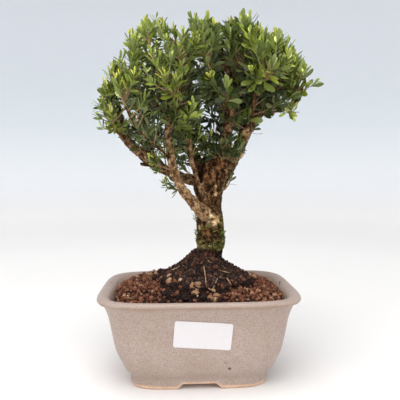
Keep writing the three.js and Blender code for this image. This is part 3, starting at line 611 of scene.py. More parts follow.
# Chips in the glaze: where, how big and how dark
CHIPS = [((21, -38, 17.9), 1.3, 0.95), ((-69.8, 10.4, 69.2), 1, 0.95), ((18.4, -40.6, 23.2), 1.8, 0.2)]


def glaze_material():
    look = Look("stoneware_glaze", Specular_IOR_Level=0.4, Coat_Weight=0.08, Coat_Roughness=0.35)
    cloud = look.noise(28, detail=5, roughness=0.6)
    body = look.ramp(cloud, (0.38, (0.4, 0.298, 0.247)), (0.62, (0.44, 0.338, 0.29)))
    grain = look.noise(1100, detail=3, roughness=0.7)
    body = look.mix(look.between(grain, 0.5, 0.64, 0, 0.6), body, (0.26, 0.18, 0.14))
    body = look.mix(look.between(grain, 0.36, 0.5, 0.35, 0), body, (0.55, 0.46, 0.42))
    height = look.height()
    # The lip and rim take a darker glaze colour: painted shade that offsets the overhead light on them
    lip_painted_shade = look.between(height, 0.063, 0.067, 0, 0.5)
    body = look.mix(lip_painted_shade, body, (0.35, 0.265, 0.22))
    over_fold = look.between(height, 0.0635, 0.0655)
    under_lip = look.between(height, 0.0668, 0.0682, 1, 0)
    patchy = look.between(look.noise(60), 0.3, 0.7, 0.25, 0.75)
    body = look.mix(look.times(look.times(over_fold, under_lip), patchy), body, (0.35, 0.235, 0.16))
    specks = look.between(look.cells(620), 0.13, 0.24, 0.75, 0)
    few = look.between(look.noise(240, detail=2), 0.5, 0.6)
    body = look.mix(look.times(specks, few), body, (0.1, 0.055, 0.035))
    for point, size, strength in CHIPS:
        body = look.mix(look.times(spot(look, point, size), strength), body, (0.07, 0.035, 0.02))
    clay = look.ramp(look.noise(300, detail=4), (0.3, (0.64, 0.39, 0.25)), (0.7, (0.8, 0.56, 0.4)))
    colour = look.mix(look.value("bare"), body, clay)
    roughness = look.between(look.noise(120, detail=4), 0.3, 0.7, 0.42, 0.56)
    normal = look.bump(look.noise(350, detail=3), 0.25, 0.35)
    normal = look.bump(specks, 0.3, 0.2, normal)
    return look.finish(colour, roughness, normal)


def clay_material():
    look = Look("bare_clay", Specular_IOR_Level=0.2)
    grain = look.noise(500, detail=5, roughness=0.7)
    colour = look.ramp(grain, (0.3, (0.66, 0.2, 0.08)), (0.7, (0.8, 0.3, 0.13)))
    return look.finish_grained(colour, grain, (0.8, 0.95), 0.4, 0.3)


def paper_material():
    look = Look("label_paper", Specular_IOR_Level=0.35)
    fibre = look.noise(1, detail=4, where=look.stretched(900, 900, 1800))
    colour = look.ramp(fibre, (0.35, (0.73, 0.69, 0.7)), (0.65, (0.78, 0.745, 0.75)))
    return look.finish_grained(colour, fibre, (0.5, 0.62), 0.12, 0.05)


def screen_material():
    look = Look("screen_plastic", Specular_IOR_Level=0.4)
    dust = look.noise(350, detail=4)
    colour = look.ramp(dust, (0.4, (0.012, 0.012, 0.013)), (0.75, (0.07, 0.05, 0.04)))
    roughness = look.between(dust, 0.3, 0.8, 0.4, 0.8)
    return look.finish(colour, roughness, look.bump(dust, 0.2, 0.1))


def granule_material():
    look = Look("fired_granules", Specular_IOR_Level=0.25)
    tone = look.value("tone")
    colour = look.ramp(
        tone, (0, (0.012, 0.006, 0.005)), (0.25, (0.085, 0.029, 0.016)), (0.6, (0.25, 0.092, 0.046)),
        (0.85, (0.4, 0.18, 0.095)), (1, (0.6, 0.4, 0.25)),
    )
    pores = look.noise(900, detail=5, roughness=0.75)
    colour = look.mix(look.between(pores, 0.4, 0.56, 0.8, 0), colour, (0.02, 0.009, 0.007))
    return look.finish_grained(colour, pores, (0.8, 0.97), 0.7, 0.4)


def peat_material():
    look = Look("peat", Specular_IOR_Level=0.3)
    crumb = look.noise(420, detail=6, roughness=0.72, distortion=0.4)
    colour = look.ramp(
        crumb, (0.4, (0.009, 0.005, 0.004)), (0.5, (0.032, 0.016, 0.011)), (0.58, (0.1, 0.046, 0.029)),
        (0.66, (0.3, 0.17, 0.11)),
    )
    fibre = look.noise(1, detail=3, where=look.stretched(900, 900, 260))
    colour = look.mix(look.between(fibre, 0.6, 0.72, 0, 0.5), colour, (0.1, 0.055, 0.035))
    return look.finish_grained(colour, crumb, (0.95, 0.7), 0.9, 1)


def root_material():
    look = Look("fine_roots", Specular_IOR_Level=0.3)
    grain = look.noise(900, detail=3)
    colour = look.ramp(grain, (0.3, (0.3, 0.17, 0.085)), (0.7, (0.58, 0.41, 0.25)))
    return look.finish_grained(colour, grain, (0.6, 0.85), 0.4, 0.2)


def bark_material():
    look = Look("bark", Specular_IOR_Level=0.1)
    relief = look.value("relief")
    fleck = look.noise(380, detail=6, roughness=0.7, distortion=0.6)
    strips = look.noise(1, detail=5, roughness=0.65, where=look.stretched(520, 520, 130))
    dark = look.ramp(
        fleck, (0.41, (0.012, 0.005, 0.002)), (0.5, (0.055, 0.025, 0.008)), (0.59, (0.17, 0.078, 0.027)),
        (0.67, (0.4, 0.22, 0.09)),
    )
    tan = look.ramp(
        fleck, (0.38, (0.08, 0.036, 0.015)), (0.48, (0.29, 0.155, 0.07)), (0.56, (0.48, 0.295, 0.15)),
        (0.66, (0.76, 0.54, 0.33)),
    )
    colour = look.mix(look.value("tan"), dark, tan)
    rust = look.ramp(fleck, (0.38, (0.07, 0.02, 0.008)), (0.6, (0.42, 0.17, 0.06)))
    colour = look.mix(look.value("rust"), colour, rust)
    colour = look.mix(look.between(strips, 0.43, 0.53, 0.55, 0), colour, (0.032, 0.013, 0.006))
    # Hollows of the bark are darkened and crests of tan bark lightened: partly the bark's own colours,
    # partly painted shade in the hollows and a painted highlight on the crests
    less_on_tan = look.between(look.value("tan"), 0.2, 0.9, 1, 0.5)
    hollow_painted_shade = look.times(look.between(relief, -1, -0.1, 0.95, 0), less_on_tan)
    colour = look.mix(hollow_painted_shade, colour, (0.009, 0.004, 0.002))
    crest_painted_highlight = look.times(look.between(relief, 0.2, 1, 0, 0.5), look.value("tan"))
    colour = look.mix(crest_painted_highlight, colour, (0.64, 0.43, 0.25))
    pale = look.ramp(
        fleck, (0.38, (0.26, 0.14, 0.06)), (0.47, (0.66, 0.42, 0.19)), (0.59, (0.95, 0.72, 0.43)),
    )
    whole = look.times(look.between(relief, -1.1, -0.4, 0.4, 1), look.value("pale"))
    colour = look.mix(whole, colour, pale)
    mossy = look.ramp(
        fleck, (0.39, (0.014, 0.014, 0.005)), (0.51, (0.1, 0.092, 0.027)), (0.63, (0.33, 0.3, 0.09)),
    )
    colour = look.mix(look.value("moss"), colour, mossy)
    colour = look.mix(look.value("soil"), colour, (0.012, 0.007, 0.005))
    roughness = look.between(fleck, 0.3, 0.7, 0.95, 0.75)
    normal = look.bump(strips, 0.7, 0.9)
    normal = look.bump(fleck, 0.7, 0.7, normal)
    return look.finish(colour, roughness, normal)


# The colours of a leaf by its age number, 0 for the oldest; for last year's leaves that number also holds
# painted light on the crown's outside and painted shade inside it
UPPER_SIDE_STOPS = [
    (0, (0.014, 0.023, 0.005)), (0.12, (0.058, 0.083, 0.012)), (0.28, (0.25, 0.31, 0.036)),
    (0.5, (0.56, 0.66, 0.05)), (0.75, (0.82, 0.84, 0.08)), (1, (0.95, 0.82, 0.09)),
]
UNDERSIDE_STOPS = [
    (0, (0.045, 0.065, 0.02)), (0.3, (0.16, 0.21, 0.045)), (0.6, (0.36, 0.46, 0.06)),
    (1, (0.66, 0.64, 0.12)),
]


def leaf_material(name, stops, roughness, veins, sheen):
    """Leaf skin coloured by age, with a random tone for each leaf and a paler middle vein."""
    look = Look(name, Specular_IOR_Level=0.33, Coat_Weight=sheen, Coat_Roughness=0.3)
    colour = look.ramp(look.value("age"), *stops)
    tone = look.value("tone")
    colour = look.mix(look.between(tone, 0, 0.5, 0.6, 0), colour, (0.014, 0.022, 0.006))
    colour = look.mix(look.between(tone, 0.5, 1, 0, 0.5), colour, (0.26, 0.29, 0.11))
    colour = look.mix(look.between(tone, 0.9992, 0.9993, 0, 0.9), colour, (0.5, 0.18, 0.03))
    cloud = look.noise(260, detail=3)
    colour = look.mix(look.between(cloud, 0.45, 0.7, 0, 0.22), colour, (0.08, 0.1, 0.03))
    middle = look.between(look.value("across"), 0, 0.16, veins, 0)
    colour = look.mix(middle, colour, (0.2, 0.24, 0.08))
    base = look.between(look.value("along"), 0, 0.25, 0.3, 0)
    colour = look.mix(base, colour, (0.19, 0.21, 0.05))
    rough = look.between(cloud, 0.3, 0.7, roughness - 0.06, roughness + 0.08)
    ridge = look.maths("ADD", middle, look.times(look.noise(1100, detail=2), 0.4))
    return look.finish(colour, rough, look.bump(ridge, 0.35, 0.25))


def twig_material():
    look = Look("young_twig", Specular_IOR_Level=0.35)
    grain = look.noise(600, detail=4)
    green = look.ramp(grain, (0.3, (0.1, 0.14, 0.03)), (0.7, (0.24, 0.3, 0.07)))
    brown = look.ramp(grain, (0.3, (0.15, 0.08, 0.042)), (0.7, (0.4, 0.25, 0.13)))
    colour = look.mix(look.between(look.value("along"), 0.6, 0.95), brown, green)
    return look.finish_grained(colour, grain, (0.5, 0.75), 0.4, 0.25)


def moss_material():
    look = Look("moss", Specular_IOR_Level=0.2, Sheen_Weight=0.2)
    tuft = look.noise(900, detail=4)
    stops = (0.39, (0.02, 0.02, 0.007)), (0.51, (0.13, 0.115, 0.035)), (0.63, (0.4, 0.36, 0.115))
    return look.finish_grained(look.ramp(tuft, *stops), tuft, (0.9, 0.75), 0.8, 0.4)


def chip_material():
    look = Look("clay_lumps", Specular_IOR_Level=0.2)
    grain = look.noise(700, detail=5, roughness=0.65)
    tone = look.value("tone")
    colour = look.ramp(tone, (0, (0.2, 0.1, 0.055)), (0.5, (0.42, 0.24, 0.13)), (1, (0.72, 0.54, 0.36)))
    colour = look.mix(look.between(grain, 0.35, 0.6, 0.5, 0), colour, (0.07, 0.035, 0.022))
    return look.finish_grained(colour, grain, (0.8, 0.95), 0.6, 0.4)


# Pot, label and screens


def half_depth_for(half_width):
    return RIM_HALF_DEPTH - DEPTH_TAPER * (RIM_HALF_WIDTH - half_width)


def oval_ring(half_width, half_depth, z, sides=POT_SIDES):
    """One level ring with flattened sides and round corners."""
    turns = turns_round(sides)
    corners = np.abs(np.cos(turns)) ** CORNER_POWER + np.abs(np.sin(turns)) ** CORNER_POWER
    reach = corners ** (-1 / CORNER_POWER)
    x, y = half_width * reach * np.cos(turns), half_depth * reach * np.sin(turns)
    return np.stack([x, y, np.full(sides, z)], axis=-1)


def finer(rows, step):
    """Rows of height and half width with more rows on a smooth curve between them."""
    rows = [np.array(row, float) for row in rows]
    made = []
    for i in range(len(rows) - 1):
        before, start, end, after = around(rows, i)
        length = np.linalg.norm(end - start)
        bend_in = (end - before) * min(1, length / max(1e-6, np.linalg.norm(start - before)))
        bend_out = (after - start) * min(1, length / max(1e-6, np.linalg.norm(after - end)))
        steps = max(1, round(float(length) / step))
        for t in np.arange(steps) / steps:
            blend = t * t * (3 - 2 * t)
            made.append(
                start + (end - start) * blend
                + 0.5 * bend_in * (t**3 - 2 * t**2 + t) + 0.5 * bend_out * (t**3 - t**2)
            )
    made.append(rows[-1])
    return made


def notch_mesh(notch, reach, sideways):
    """The block that cuts a notch through the foot, its corners eased."""
    half_top, half_bottom, height = notch["half_top"], notch["half_bottom"], notch["height"]
    right = [
        (half_bottom + 1.2, -1), (half_bottom - 0.2, 0.3), (half_top + 0.7, height - 0.8),
        (half_top - 0.5, height),
    ]
    left = [(-x, z) for x, z in right]
    outline = [left[0], *right, *left[:0:-1]]
    rings = [[(x, y, z) for x, z in outline] for y in (reach, -reach)]
    if sideways:
        rings = [[(-y, x, z) for x, y, z in ring] for ring in rings]
    return lofted("notch", rings)


def hole_mesh(x):
    """The rod that cuts one drain hole."""
    radius, turns = DRAIN_HOLE["radius"], turns_round(DRAIN_HOLE["sides"])
    circle = [(x + radius * math.cos(t), radius * math.sin(t)) for t in turns]
    ends = (DRAIN_HOLE["from_z"], DRAIN_HOLE["to_z"])
    return lofted("hole", [[(*place, z) for place in circle] for z in ends])


def cut(mesh, cutter_mesh):
    """A mesh with the form of another taken out of it."""
    cutter = linked("cutter", cutter_mesh)
    result = modified(mesh, "BOOLEAN", operation="DIFFERENCE", object=cutter, solver="EXACT")
    bpy.data.objects.remove(cutter)
    return result


def bareness(points):
    """How bare of glaze each point of the pot is: the foot's edge, the notches and the recess are."""
    x, y, z = points.T
    fade = GLAZE_END["fade"]
    uneven = 0.5 * np.sin(x / 9) * np.sin(y / 7 + 1)
    bare = np.clip((GLAZE_END["height"] + uneven - z) / fade, 0, 1)
    on_front, on_side = np.abs(y) > FOOT_SIDES["y"], np.abs(x) > FOOT_SIDES["x"]
    for notch, across, there in ((FOOT_NOTCH, x, on_front), (SIDE_NOTCH, y, on_side)):
        slope = (notch["half_bottom"] - notch["half_top"]) / notch["height"]
        beside = (np.abs(across) - (notch["half_bottom"] - slope * z)) / math.hypot(1, slope)
        outside = np.maximum(beside, z - notch["height"])
        near = np.clip((GLAZE_END["round_notch"] - outside) / fade, 0, 1)
        bare = np.maximum(bare, np.where(there, near, 0))
    in_recess = (np.abs(x) < RECESS["half_width"]) & (np.abs(y) < RECESS["half_depth"])
    return np.maximum(bare, in_recess & (z < FLOOR_UNDERSIDE + 0.5))


def make_pot(glaze, clay):
    parts = zip((UNDERSIDE_ROWS, FOOT_ROWS, WALL_ROWS + LIP_ROWS + INNER_ROWS), ROW_STEPS)
    rows = [row for part, step in parts for row in finer(part, step)]
    mesh = lofted("pot_body", [oval_ring(half, half_depth_for(half), z) for z, half in rows])
    mesh = cut(mesh, notch_mesh(FOOT_NOTCH, RIM_HALF_DEPTH, False))
    mesh = cut(mesh, notch_mesh(SIDE_NOTCH, RIM_HALF_WIDTH, True))
    for side in (-1, 1):
        mesh = cut(mesh, hole_mesh(side * DRAIN_HOLE["x"]))
    points = positions(mesh)
    outwards = points * np.array([1, 1, 0])
    outwards /= np.maximum(np.linalg.norm(outwards, axis=1, keepdims=True), 1)
    wander = noise_at(points, WALL_WAVES["size"])[:, None]
    lift = np.clip(points[:, 2] / 20, 0, 1)[:, None]
    move_points(mesh, points + outwards * WALL_WAVES["height"] * wander * lift)
    add_values(mesh, "bare", bareness(points))
    piece = make_piece("glazed_pot", mesh, [glaze, clay], crease=38)
    ring_half_width = UNDERSIDE_ROWS[-1][1]
    ring_half_depth = half_depth_for(ring_half_width)
    for face in mesh.polygons:
        x, y, z = (face.center - ORIGIN) / MM
        under = abs(x) < ring_half_width and abs(y) < ring_half_depth and z < FLOOR_UNDERSIDE + 0.6
        face.material_index = 1 if under else 0
    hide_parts("pot")


def wall_depth(x, z):
    """Where the pot's front wall is at a place across and up."""
    heights, halves = np.array(FOOT_ROWS + WALL_ROWS).T
    half = np.interp(z, heights, halves)
    return -half_depth_for(half) * (1 - np.abs(x / half) ** CORNER_POWER) ** (1 / CORNER_POWER)


def label_outline(per_corner=7):
    w, h, r = LABEL["width"] / 2, LABEL["height"] / 2, LABEL["corner"]
    outline = []
    for corner, (sx, sz) in enumerate(((1, -1), (1, 1), (-1, 1), (-1, -1))):
        for k in range(per_corner):
            turn = math.pi / 2 * (corner - 1 + k / (per_corner - 1))
            outline.append((sx * (w - r) + r * math.cos(turn), sz * (h - r) + r * math.sin(turn)))
    return np.array(outline)


def make_label(paper):
    """A blank paper label, stuck to the curve of the wall, its right corners a little proud."""
    outline = label_outline()
    steps = np.linspace(0, 1, 6)[:-1, None]
    pairs = zip(outline, np.roll(outline, -1, axis=0))
    dense = np.concatenate([start + (end - start) * steps for start, end in pairs])
    tilt = math.radians(LABEL["tilt"])
    back = [(share, 0) for share in LABEL_RINGS]
    front = [(share, LABEL["thickness"]) for share in reversed(LABEL_RINGS)]
    rings = []
    for share, thick in back + front:
        u, v = (dense * share).T
        x = LABEL["x"] + u * math.cos(tilt) + v * math.sin(tilt)
        z = LABEL["z"] - u * math.sin(tilt) + v * math.cos(tilt)
        corner = np.clip((u / 20 + np.abs(v) / 10 - 1.55) / 0.45, 0, 1)
        ripple = LABEL["ripple"] * np.sin(u / 3.1) * share
        off = LABEL["off_wall"] + LABEL["corner_lift"] * corner**2 + thick + ripple
        rings.append(np.stack([x, wall_depth(x, z) - off, z], axis=-1))
    piece = make_piece("blank_label", lofted("blank_label", rings), [paper], crease=50)
    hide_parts("label")


def colour_screens(plastic):
    """The drain screens keep the solids' own form."""
    for name in ("drain_screen_left", "drain_screen_right"):
        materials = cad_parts[name].data.materials
        materials.clear()
        materials.append(plastic)


# Soil


def bed_height(x, y):
    """The height of the heaped granules, highest in the middle and level at the rim."""
    across = np.maximum(0, 1 - (x / BED_HALF_WIDTH) ** 2)
    along = np.maximum(0, 1 - (y / BED_HALF_DEPTH) ** 2)
    return BED_EDGE_HEIGHT + BED_RISE * across * along


def ball_size(z):
    """The peat ball's half width and half depth at a height."""
    heights, widths, depths = np.array(ROOT_BALL).T
    return np.interp(z, heights, widths), np.interp(z, heights, depths)


def ball_middle(z):
    return np.interp(z, BALL_MIDDLE_Z, BALL_MIDDLE_X)


def ball_share(x, y, z):
    """How far out from the peat ball's axis a point is, 1 being on its skin."""
    half_width, half_depth = ball_size(z)
    return np.hypot((x - ball_middle(z)) / half_width, y / half_depth)


def roughened(points, size, amount, seed):
    """Points moved by noise of a size and an amount."""
    shift = Vector((seed * 7.3, seed * 3.1, 0))
    moves = [noise.turbulence_vector(Vector(p) / size + shift, 3, False) for p in points]
    return points + amount * np.array([list(move) for move in moves])


def stone_template():
    """A regular solid of twenty faces, which each grain distorts."""
    g = (1 + math.sqrt(5)) / 2
    points = []
    for a in (-1, 1):
        for b in (-g, g):
            points += [(0, a, b), (a, b, 0), (b, 0, a)]
    points = np.array(points, float)
    points /= np.linalg.norm(points[0])
    faces = []
    for i in range(12):
        for j in range(i + 1, 12):
            for k in range(j + 1, 12):
                sides = [np.linalg.norm(points[p] - points[q]) for p, q in ((i, j), (j, k), (k, i))]
                if max(sides) < 1.1:
                    out = np.cross(points[j] - points[i], points[k] - points[i]) @ points[i]
                    faces.append((i, j, k) if out > 0 else (i, k, j))
    return points, np.array(faces)


STONE_POINTS, STONE_FACES = stone_template()


def add_stones(shape, centres, sizes, seed, squash=0.75, uneven=0.38, **values):
    """Angular grains, each turned and distorted its own way."""
    numbers = random_numbers(seed)
    count = len(centres)
    reach = numbers.uniform(1 - uneven, 1 + 0.8 * uneven, (count, 12, 1))
    axes = numbers.uniform(squash, 1.25, (count, 1, 3))
    points = STONE_POINTS[None] * reach * axes * np.asarray(sizes)[:, None, None]
    turns = numbers.normal(size=(count, 4))
    turns /= np.linalg.norm(turns, axis=1, keepdims=True)
    w, x, y, z = turns.T
    spins = np.array([
        [1 - 2 * (y * y + z * z), 2 * (x * y - z * w), 2 * (x * z + y * w)],
        [2 * (x * y + z * w), 1 - 2 * (x * x + z * z), 2 * (y * z - x * w)],
        [2 * (x * z - y * w), 2 * (y * z + x * w), 1 - 2 * (x * x + y * y)],
    ]).transpose(2, 0, 1)
    points = np.einsum("nij,nkj->nki", spins, points) + np.asarray(centres)[:, None, :]
    faces = (STONE_FACES[None] + 12 * np.arange(count)[:, None, None]).reshape(-1, 3)
    spread = {key: np.repeat(np.broadcast_to(value, (count,)), 12) for key, value in values.items()}
    shape.add(points, faces, **spread)


def inside_ring(half_width, z):
    return oval_ring(half_width - 0.3, half_depth_for(half_width) - 0.3, z, sides=96)


def add_grains(shape):
    """Loose grains in layers, dark where peat covers them."""
    numbers = random_numbers(SEEDS["grains"])
    pitch = GRAINS["pitch"]
    for layer, (filled, scale) in enumerate(GRAIN_LAYERS):
        xs, ys = np.meshgrid(np.arange(-64, 64.1, pitch), np.arange(-44, 44.1, pitch))
        count = xs.size
        x = xs.ravel() + numbers.uniform(-0.5, 0.5, count) * pitch
        y = ys.ravel() + numbers.uniform(-0.5, 0.5, count) * pitch
        size = numbers.uniform(*GRAINS["sizes"], count) * scale
        z = bed_height(x, y) - GRAINS["sunk"] + LAYER_STEP * layer + numbers.uniform(-0.45, 0.45, count)
        across, along = np.abs(x) / GRAINS["half_width"], np.abs(y) / GRAINS["half_depth"]
        inside = across**CORNER_POWER + along**CORNER_POWER < 1
        chosen = numbers.uniform(0, 1, count) < filled
        keep = inside & (ball_share(x, y, z) > 0.97) & chosen
        tone = np.clip(numbers.normal(0.55, 0.2, count), 0.12, 0.92)
        spilt_x = (x - SPILT_PEAT["x"]) / SPILT_PEAT["half_width"]
        spilt_y = (y - SPILT_PEAT["y"]) / SPILT_PEAT["half_depth"]
        spilt = np.hypot(spilt_x, spilt_y) + 0.3 * numbers.uniform(-1, 1, count)
        peaty = np.minimum(ball_share(x, y, z) - 1.14, spilt - 0.9) < 0
        tone = np.where(peaty & (numbers.uniform(0, 1, count) < 0.75), PEAT_AND_GAP_SHADE_TONE, tone)
        places = np.stack([x, y, z], axis=-1)[keep]
        add_stones(shape, places, size[keep], SEEDS["grain_stones"] + layer, squash=0.65, tone=tone[keep])


def make_bed(granules):
    """The block of soil under its rough top, with loose grains all over it; its skin takes the peat's
    near-black tone as painted shade in the gaps between the grains.
    """
    rings = [inside_ring(half, z) for z, half in BED_SIDES]
    top = inside_ring(63, 0)
    for share in BED_RINGS:
        ring = top * share
        ring[:, 2] = bed_height(ring[:, 0], ring[:, 1]) - 1.6
        rings.append(ring)
    points, quads, caps = loft(rings)
    high = points[:, 2] > BED_EDGE_HEIGHT - 1
    points[high] = roughened(points[high], size=3.2, amount=0.8, seed=1)
    shape = Shape("tone")
    # Near-black skin: painted shade in the gaps between the grains
    shape.add(points, quads, caps, tone=PEAT_AND_GAP_SHADE_TONE)
    add_grains(shape)
    piece = make_piece("granules", shape.mesh("granules"), [granules], smooth=False)
    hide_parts("granule_bed")


def on_ball(turn, z, outwards=0.0):
    half_width, half_depth = ball_size(z)
    x = ball_middle(z) + (half_width + outwards) * np.cos(turn)
    return np.stack([x, (half_depth + outwards) * np.sin(turn), z], axis=-1)


def make_peat(peat):
    """The peat mound: a rough skin with crumbs pressed into it."""
    heights = np.concatenate([np.arange(22, 70, 4), np.arange(70, 98.2, 0.8)])
    turns = turns_round(132)
    rings = [on_ball(turns, np.full(len(turns), z), -0.9) for z in heights]
    points, quads, caps = loft(rings)
    loose = points[:, 2] > 68
    points[loose] = roughened(points[loose], size=7, amount=1.1, seed=2)
    points[loose] = roughened(points[loose], size=2.2, amount=0.7, seed=3)
    shape = Shape()
    shape.add(points, quads, caps)
    numbers = random_numbers(SEEDS["peat"])
    count = 1500
    turn = numbers.uniform(0, 2 * np.pi, count)
    z = 75 + 21.5 * numbers.uniform(0, 1, count) ** 1.3
    crumbs = on_ball(turn, z, -0.2) + numbers.normal(0, 0.45, (count, 3))
    add_stones(shape, crumbs, numbers.uniform(0.45, 1.4, count), SEEDS["peat_stones"], squash=0.6)
    piece = make_piece("peat_mound", shape.mesh("peat_mound"), [peat], smooth=False)
    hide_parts("root_ball")


def make_mound_crumbs(granules):
    """Reddish crumbs of fired clay and peat that cling all over the mound."""
    numbers = random_numbers(SEEDS["crumbs"])
    count = 760
    turn = numbers.uniform(0, 2 * np.pi, count)
    z = 75 + 22 * numbers.uniform(0, 1, count) ** 1.1
    centres = on_ball(turn, z, 0.3) + numbers.normal(0, 0.4, (count, 3))
    reddish = noise_at(centres, 7) > -0.05
    tone = np.where(reddish, np.clip(numbers.normal(0.27, 0.17, count), 0.03, 0.9), 0.03)
    shape = Shape("tone")
    sizes = numbers.uniform(0.5, 1.5, count)
    add_stones(shape, centres, sizes, SEEDS["crumb_stones"], squash=0.6, tone=tone)
    make_piece("mound_crumbs", shape.mesh("mound_crumbs"), [granules], smooth=False)


def on_mound(across, up):
    """The place on the mound or the heap that is seen across and up from EYE."""
    for depth in np.arange(-60, 20, 0.25):
        x, y, z, _ = real((across, up, depth, 0))
        inside_ball = z < 94 and ball_share(x, y, max(z, 22)) < 1
        if inside_ball or z < bed_height(x, y):
            return np.array([x, y, z])
    return np.array([across, 0, up])


def make_roots(root):
    """Fine pale roots on the mound: the ones that the photo shows, and others behind."""
    paths = [[on_mound(*place) + (0, -0.9, 0.5) for place in trace] for trace in ROOT_TRACES]
    numbers = random_numbers(SEEDS["roots"])
    for _ in range(20):
        turn, z = numbers.uniform(0.2, math.pi - 0.2), numbers.uniform(78, 92)
        steps = numbers.normal(0, 0.12, 4).cumsum()
        falls = numbers.uniform(0.4, 2.4, 4).cumsum()
        paths.append([on_ball(turn + s, max(z - f, 75), 0.6) for s, f in zip(steps, falls)])
    shape = Shape()
    for i, path in enumerate(paths):
        knots = np.array(path) + numbers.normal(0, 0.25, (len(path), 3))
        rows = [knots[0]]
        for start, end in zip(knots, knots[1:]):
            rows += [start + (end - start) * t for t in (0.33, 0.66, 1)]
        rows = np.array(rows)
        rows[1:-1] = (rows[:-2] + 2 * rows[1:-1] + rows[2:]) / 4
        radius = 0.4 if i < len(ROOT_TRACES) else 0.2
        radii = radius * np.linspace(1, 0.45, len(rows))
        shape.add(*tube([Vector(row) for row in rows], radii, 6))
    make_piece("surface_roots", shape.mesh("surface_roots"), [root])


def make_lumps(chips):
    """Larger tan lumps and pale chips among the soil."""
    shape = Shape("tone")
    centres = np.array([on_mound(across, up) for across, up, _, _ in LUMPS])
    sizes, tones = np.array(LUMPS)[:, 2:].T
    add_stones(shape, centres, sizes, SEEDS["lump_stones"], squash=0.5, uneven=0.2, tone=tones)
    numbers = random_numbers(SEEDS["scattered"])
    count = 26
    turn = numbers.uniform(0, math.pi, count)
    out = numbers.uniform(1.0, 1.5, count)
    x = BALL_MIDDLE_X[0] + 33 * out * np.cos(turn)
    y = 27 * out * np.sin(turn)
    keep = (np.abs(x) < 56) & (np.abs(y) < 37)
    scattered = np.stack([x, y, bed_height(x, y) + 0.8], axis=-1)[keep]
    tone = numbers.uniform(0.1, 0.8, count)[keep]
    sizes = numbers.uniform(0.9, 3, count)[keep]
    add_stones(shape, scattered, sizes, SEEDS["scattered_stones"], squash=0.6, tone=tone)
    levels = {"levels": 2, "render_levels": 2}
    mesh = modified(shape.mesh("clay_lumps"), "SUBSURF", subdivision_type="SIMPLE", **levels)
    move_points(mesh, roughened(positions(mesh), size=1.6, amount=0.35, seed=5))
    make_piece("clay_lumps", mesh, [chips], smooth=False)


# Wood


def wood_paths():
    """Every limb's smooth rows of x, y, z and radius, with a wandering line and knotty girth."""
    paths = {}
    for index, (name, knots) in enumerate([("trunk", TRUNK), ("stub", STUB), *LIMBS.items()]):
        rows = smooth_path(knots, 2)
        for i, row in enumerate(rows):
            place = Vector(row[:3]) / 11 + Vector((index * 9.1, 0, 0))
            ends = min(1, i / 4, (len(rows) - 1 - i) / 4)
            wander = 0 if name == "trunk" else min(0.95, 0.3 + 0.35 * row[3])
            row[:3] += ends * wander * np.array(noise.noise_vector(place))
            row[3] *= 1 + 0.13 * noise.noise(Vector(row[:3]) / 4.5 + Vector((0, index, 0)))
        paths[name] = rows
    return paths


def relaxed(points, edges, times):
    """Points drawn towards the mean of their neighbours."""
    first, second = edges.T
    share = np.bincount(edges.ravel(), minlength=len(points))[:, None]
    for _ in range(times):
        total = np.zeros_like(points)
        np.add.at(total, first, points[second])
        np.add.at(total, second, points[first])
        points = 0.5 * points + 0.5 * total / share
    return points


def patch_share(points, patches, ragged):
    """How much of a patch's colour each point has, the patches' edges being ragged."""
    share = np.zeros(len(points))
    for across, up, depth, size, strength in patches:
        centre = real((across, up, depth, 0))[:3]
        distance = np.linalg.norm(points - centre, axis=1) / size
        share = np.maximum(share, strength * np.clip(1.5 - 1.2 * distance + ragged, 0, 1))
    return share


def bark_samples(paths):
    """Places along every limb: centre, side, up, length from the limb's foot, radius and tan share."""
    samples = []
    for name, rows in paths.items():
        length = 0.0
        for i, (at, _, side, up) in enumerate(framed([Vector(row[:3]) for row in rows])):
            length += float(np.linalg.norm(rows[i][:3] - rows[i - 1][:3])) if i else 0
            tan = TRUNK_TAN if name == "trunk" else TAN_LIMBS.get(name, OTHER_LIMBS_TAN)
            samples.append((at, side, up, length, rows[i][3], tan * min(1, 0.35 + length / 24)))
    return samples


def nearest_samples(points, samples):
    """The number of the sample whose own skin is nearest, for each point."""
    centres = np.array([sample[0] for sample in samples])
    radii = np.array([sample[4] for sample in samples])
    nearest = []
    for some in np.array_split(points, 60):
        gaps = np.linalg.norm(some[:, None] - centres[None], axis=2) - radii
        nearest.extend(np.argmin(gaps, axis=1).tolist())
    return nearest


def bark_values(points, paths):
    """The bark's relief in millimetres and its tan share, point by point."""
    samples = bark_samples(paths)
    relief = np.empty(len(points))
    tans = np.empty(len(points))
    for i, (point, number) in enumerate(zip(points, nearest_samples(points, samples))):
        at, side, up, length, radius, tan = samples[number]
        off = Vector(point) - at
        turn = math.atan2(off.dot(up), off.dot(side))
        round_about = Vector((math.cos(turn), math.sin(turn), 0))
        crest_place = round_about * min(3.4, 0.9 + 0.32 * radius) + Vector((0, 0, length * 0.1))
        crack_place = round_about * 1.1 + Vector((3, 0, length * 0.42))
        wrinkle_place = round_about * 0.8 + Vector((0, 0, length * (0.9 + 0.6 * tan)))
        crests = 0.35 - abs(noise.noise(crest_place))
        cracks = max(0, 0.09 - abs(noise.noise(crack_place))) / 0.09
        wrinkles = noise.noise(wrinkle_place)
        lumps, crumbs = noise.noise(Vector(point) / 3.1), noise.noise(Vector(point) / 1.15)
        mixed = 0.9 * crests - 0.4 * cracks + 0.3 * wrinkles + 0.6 * lumps + 0.6 * crumbs - 0.12
        relief[i] = mixed * min(1.2, 0.3 + 0.15 * radius)
        tans[i] = tan
    return relief, tans


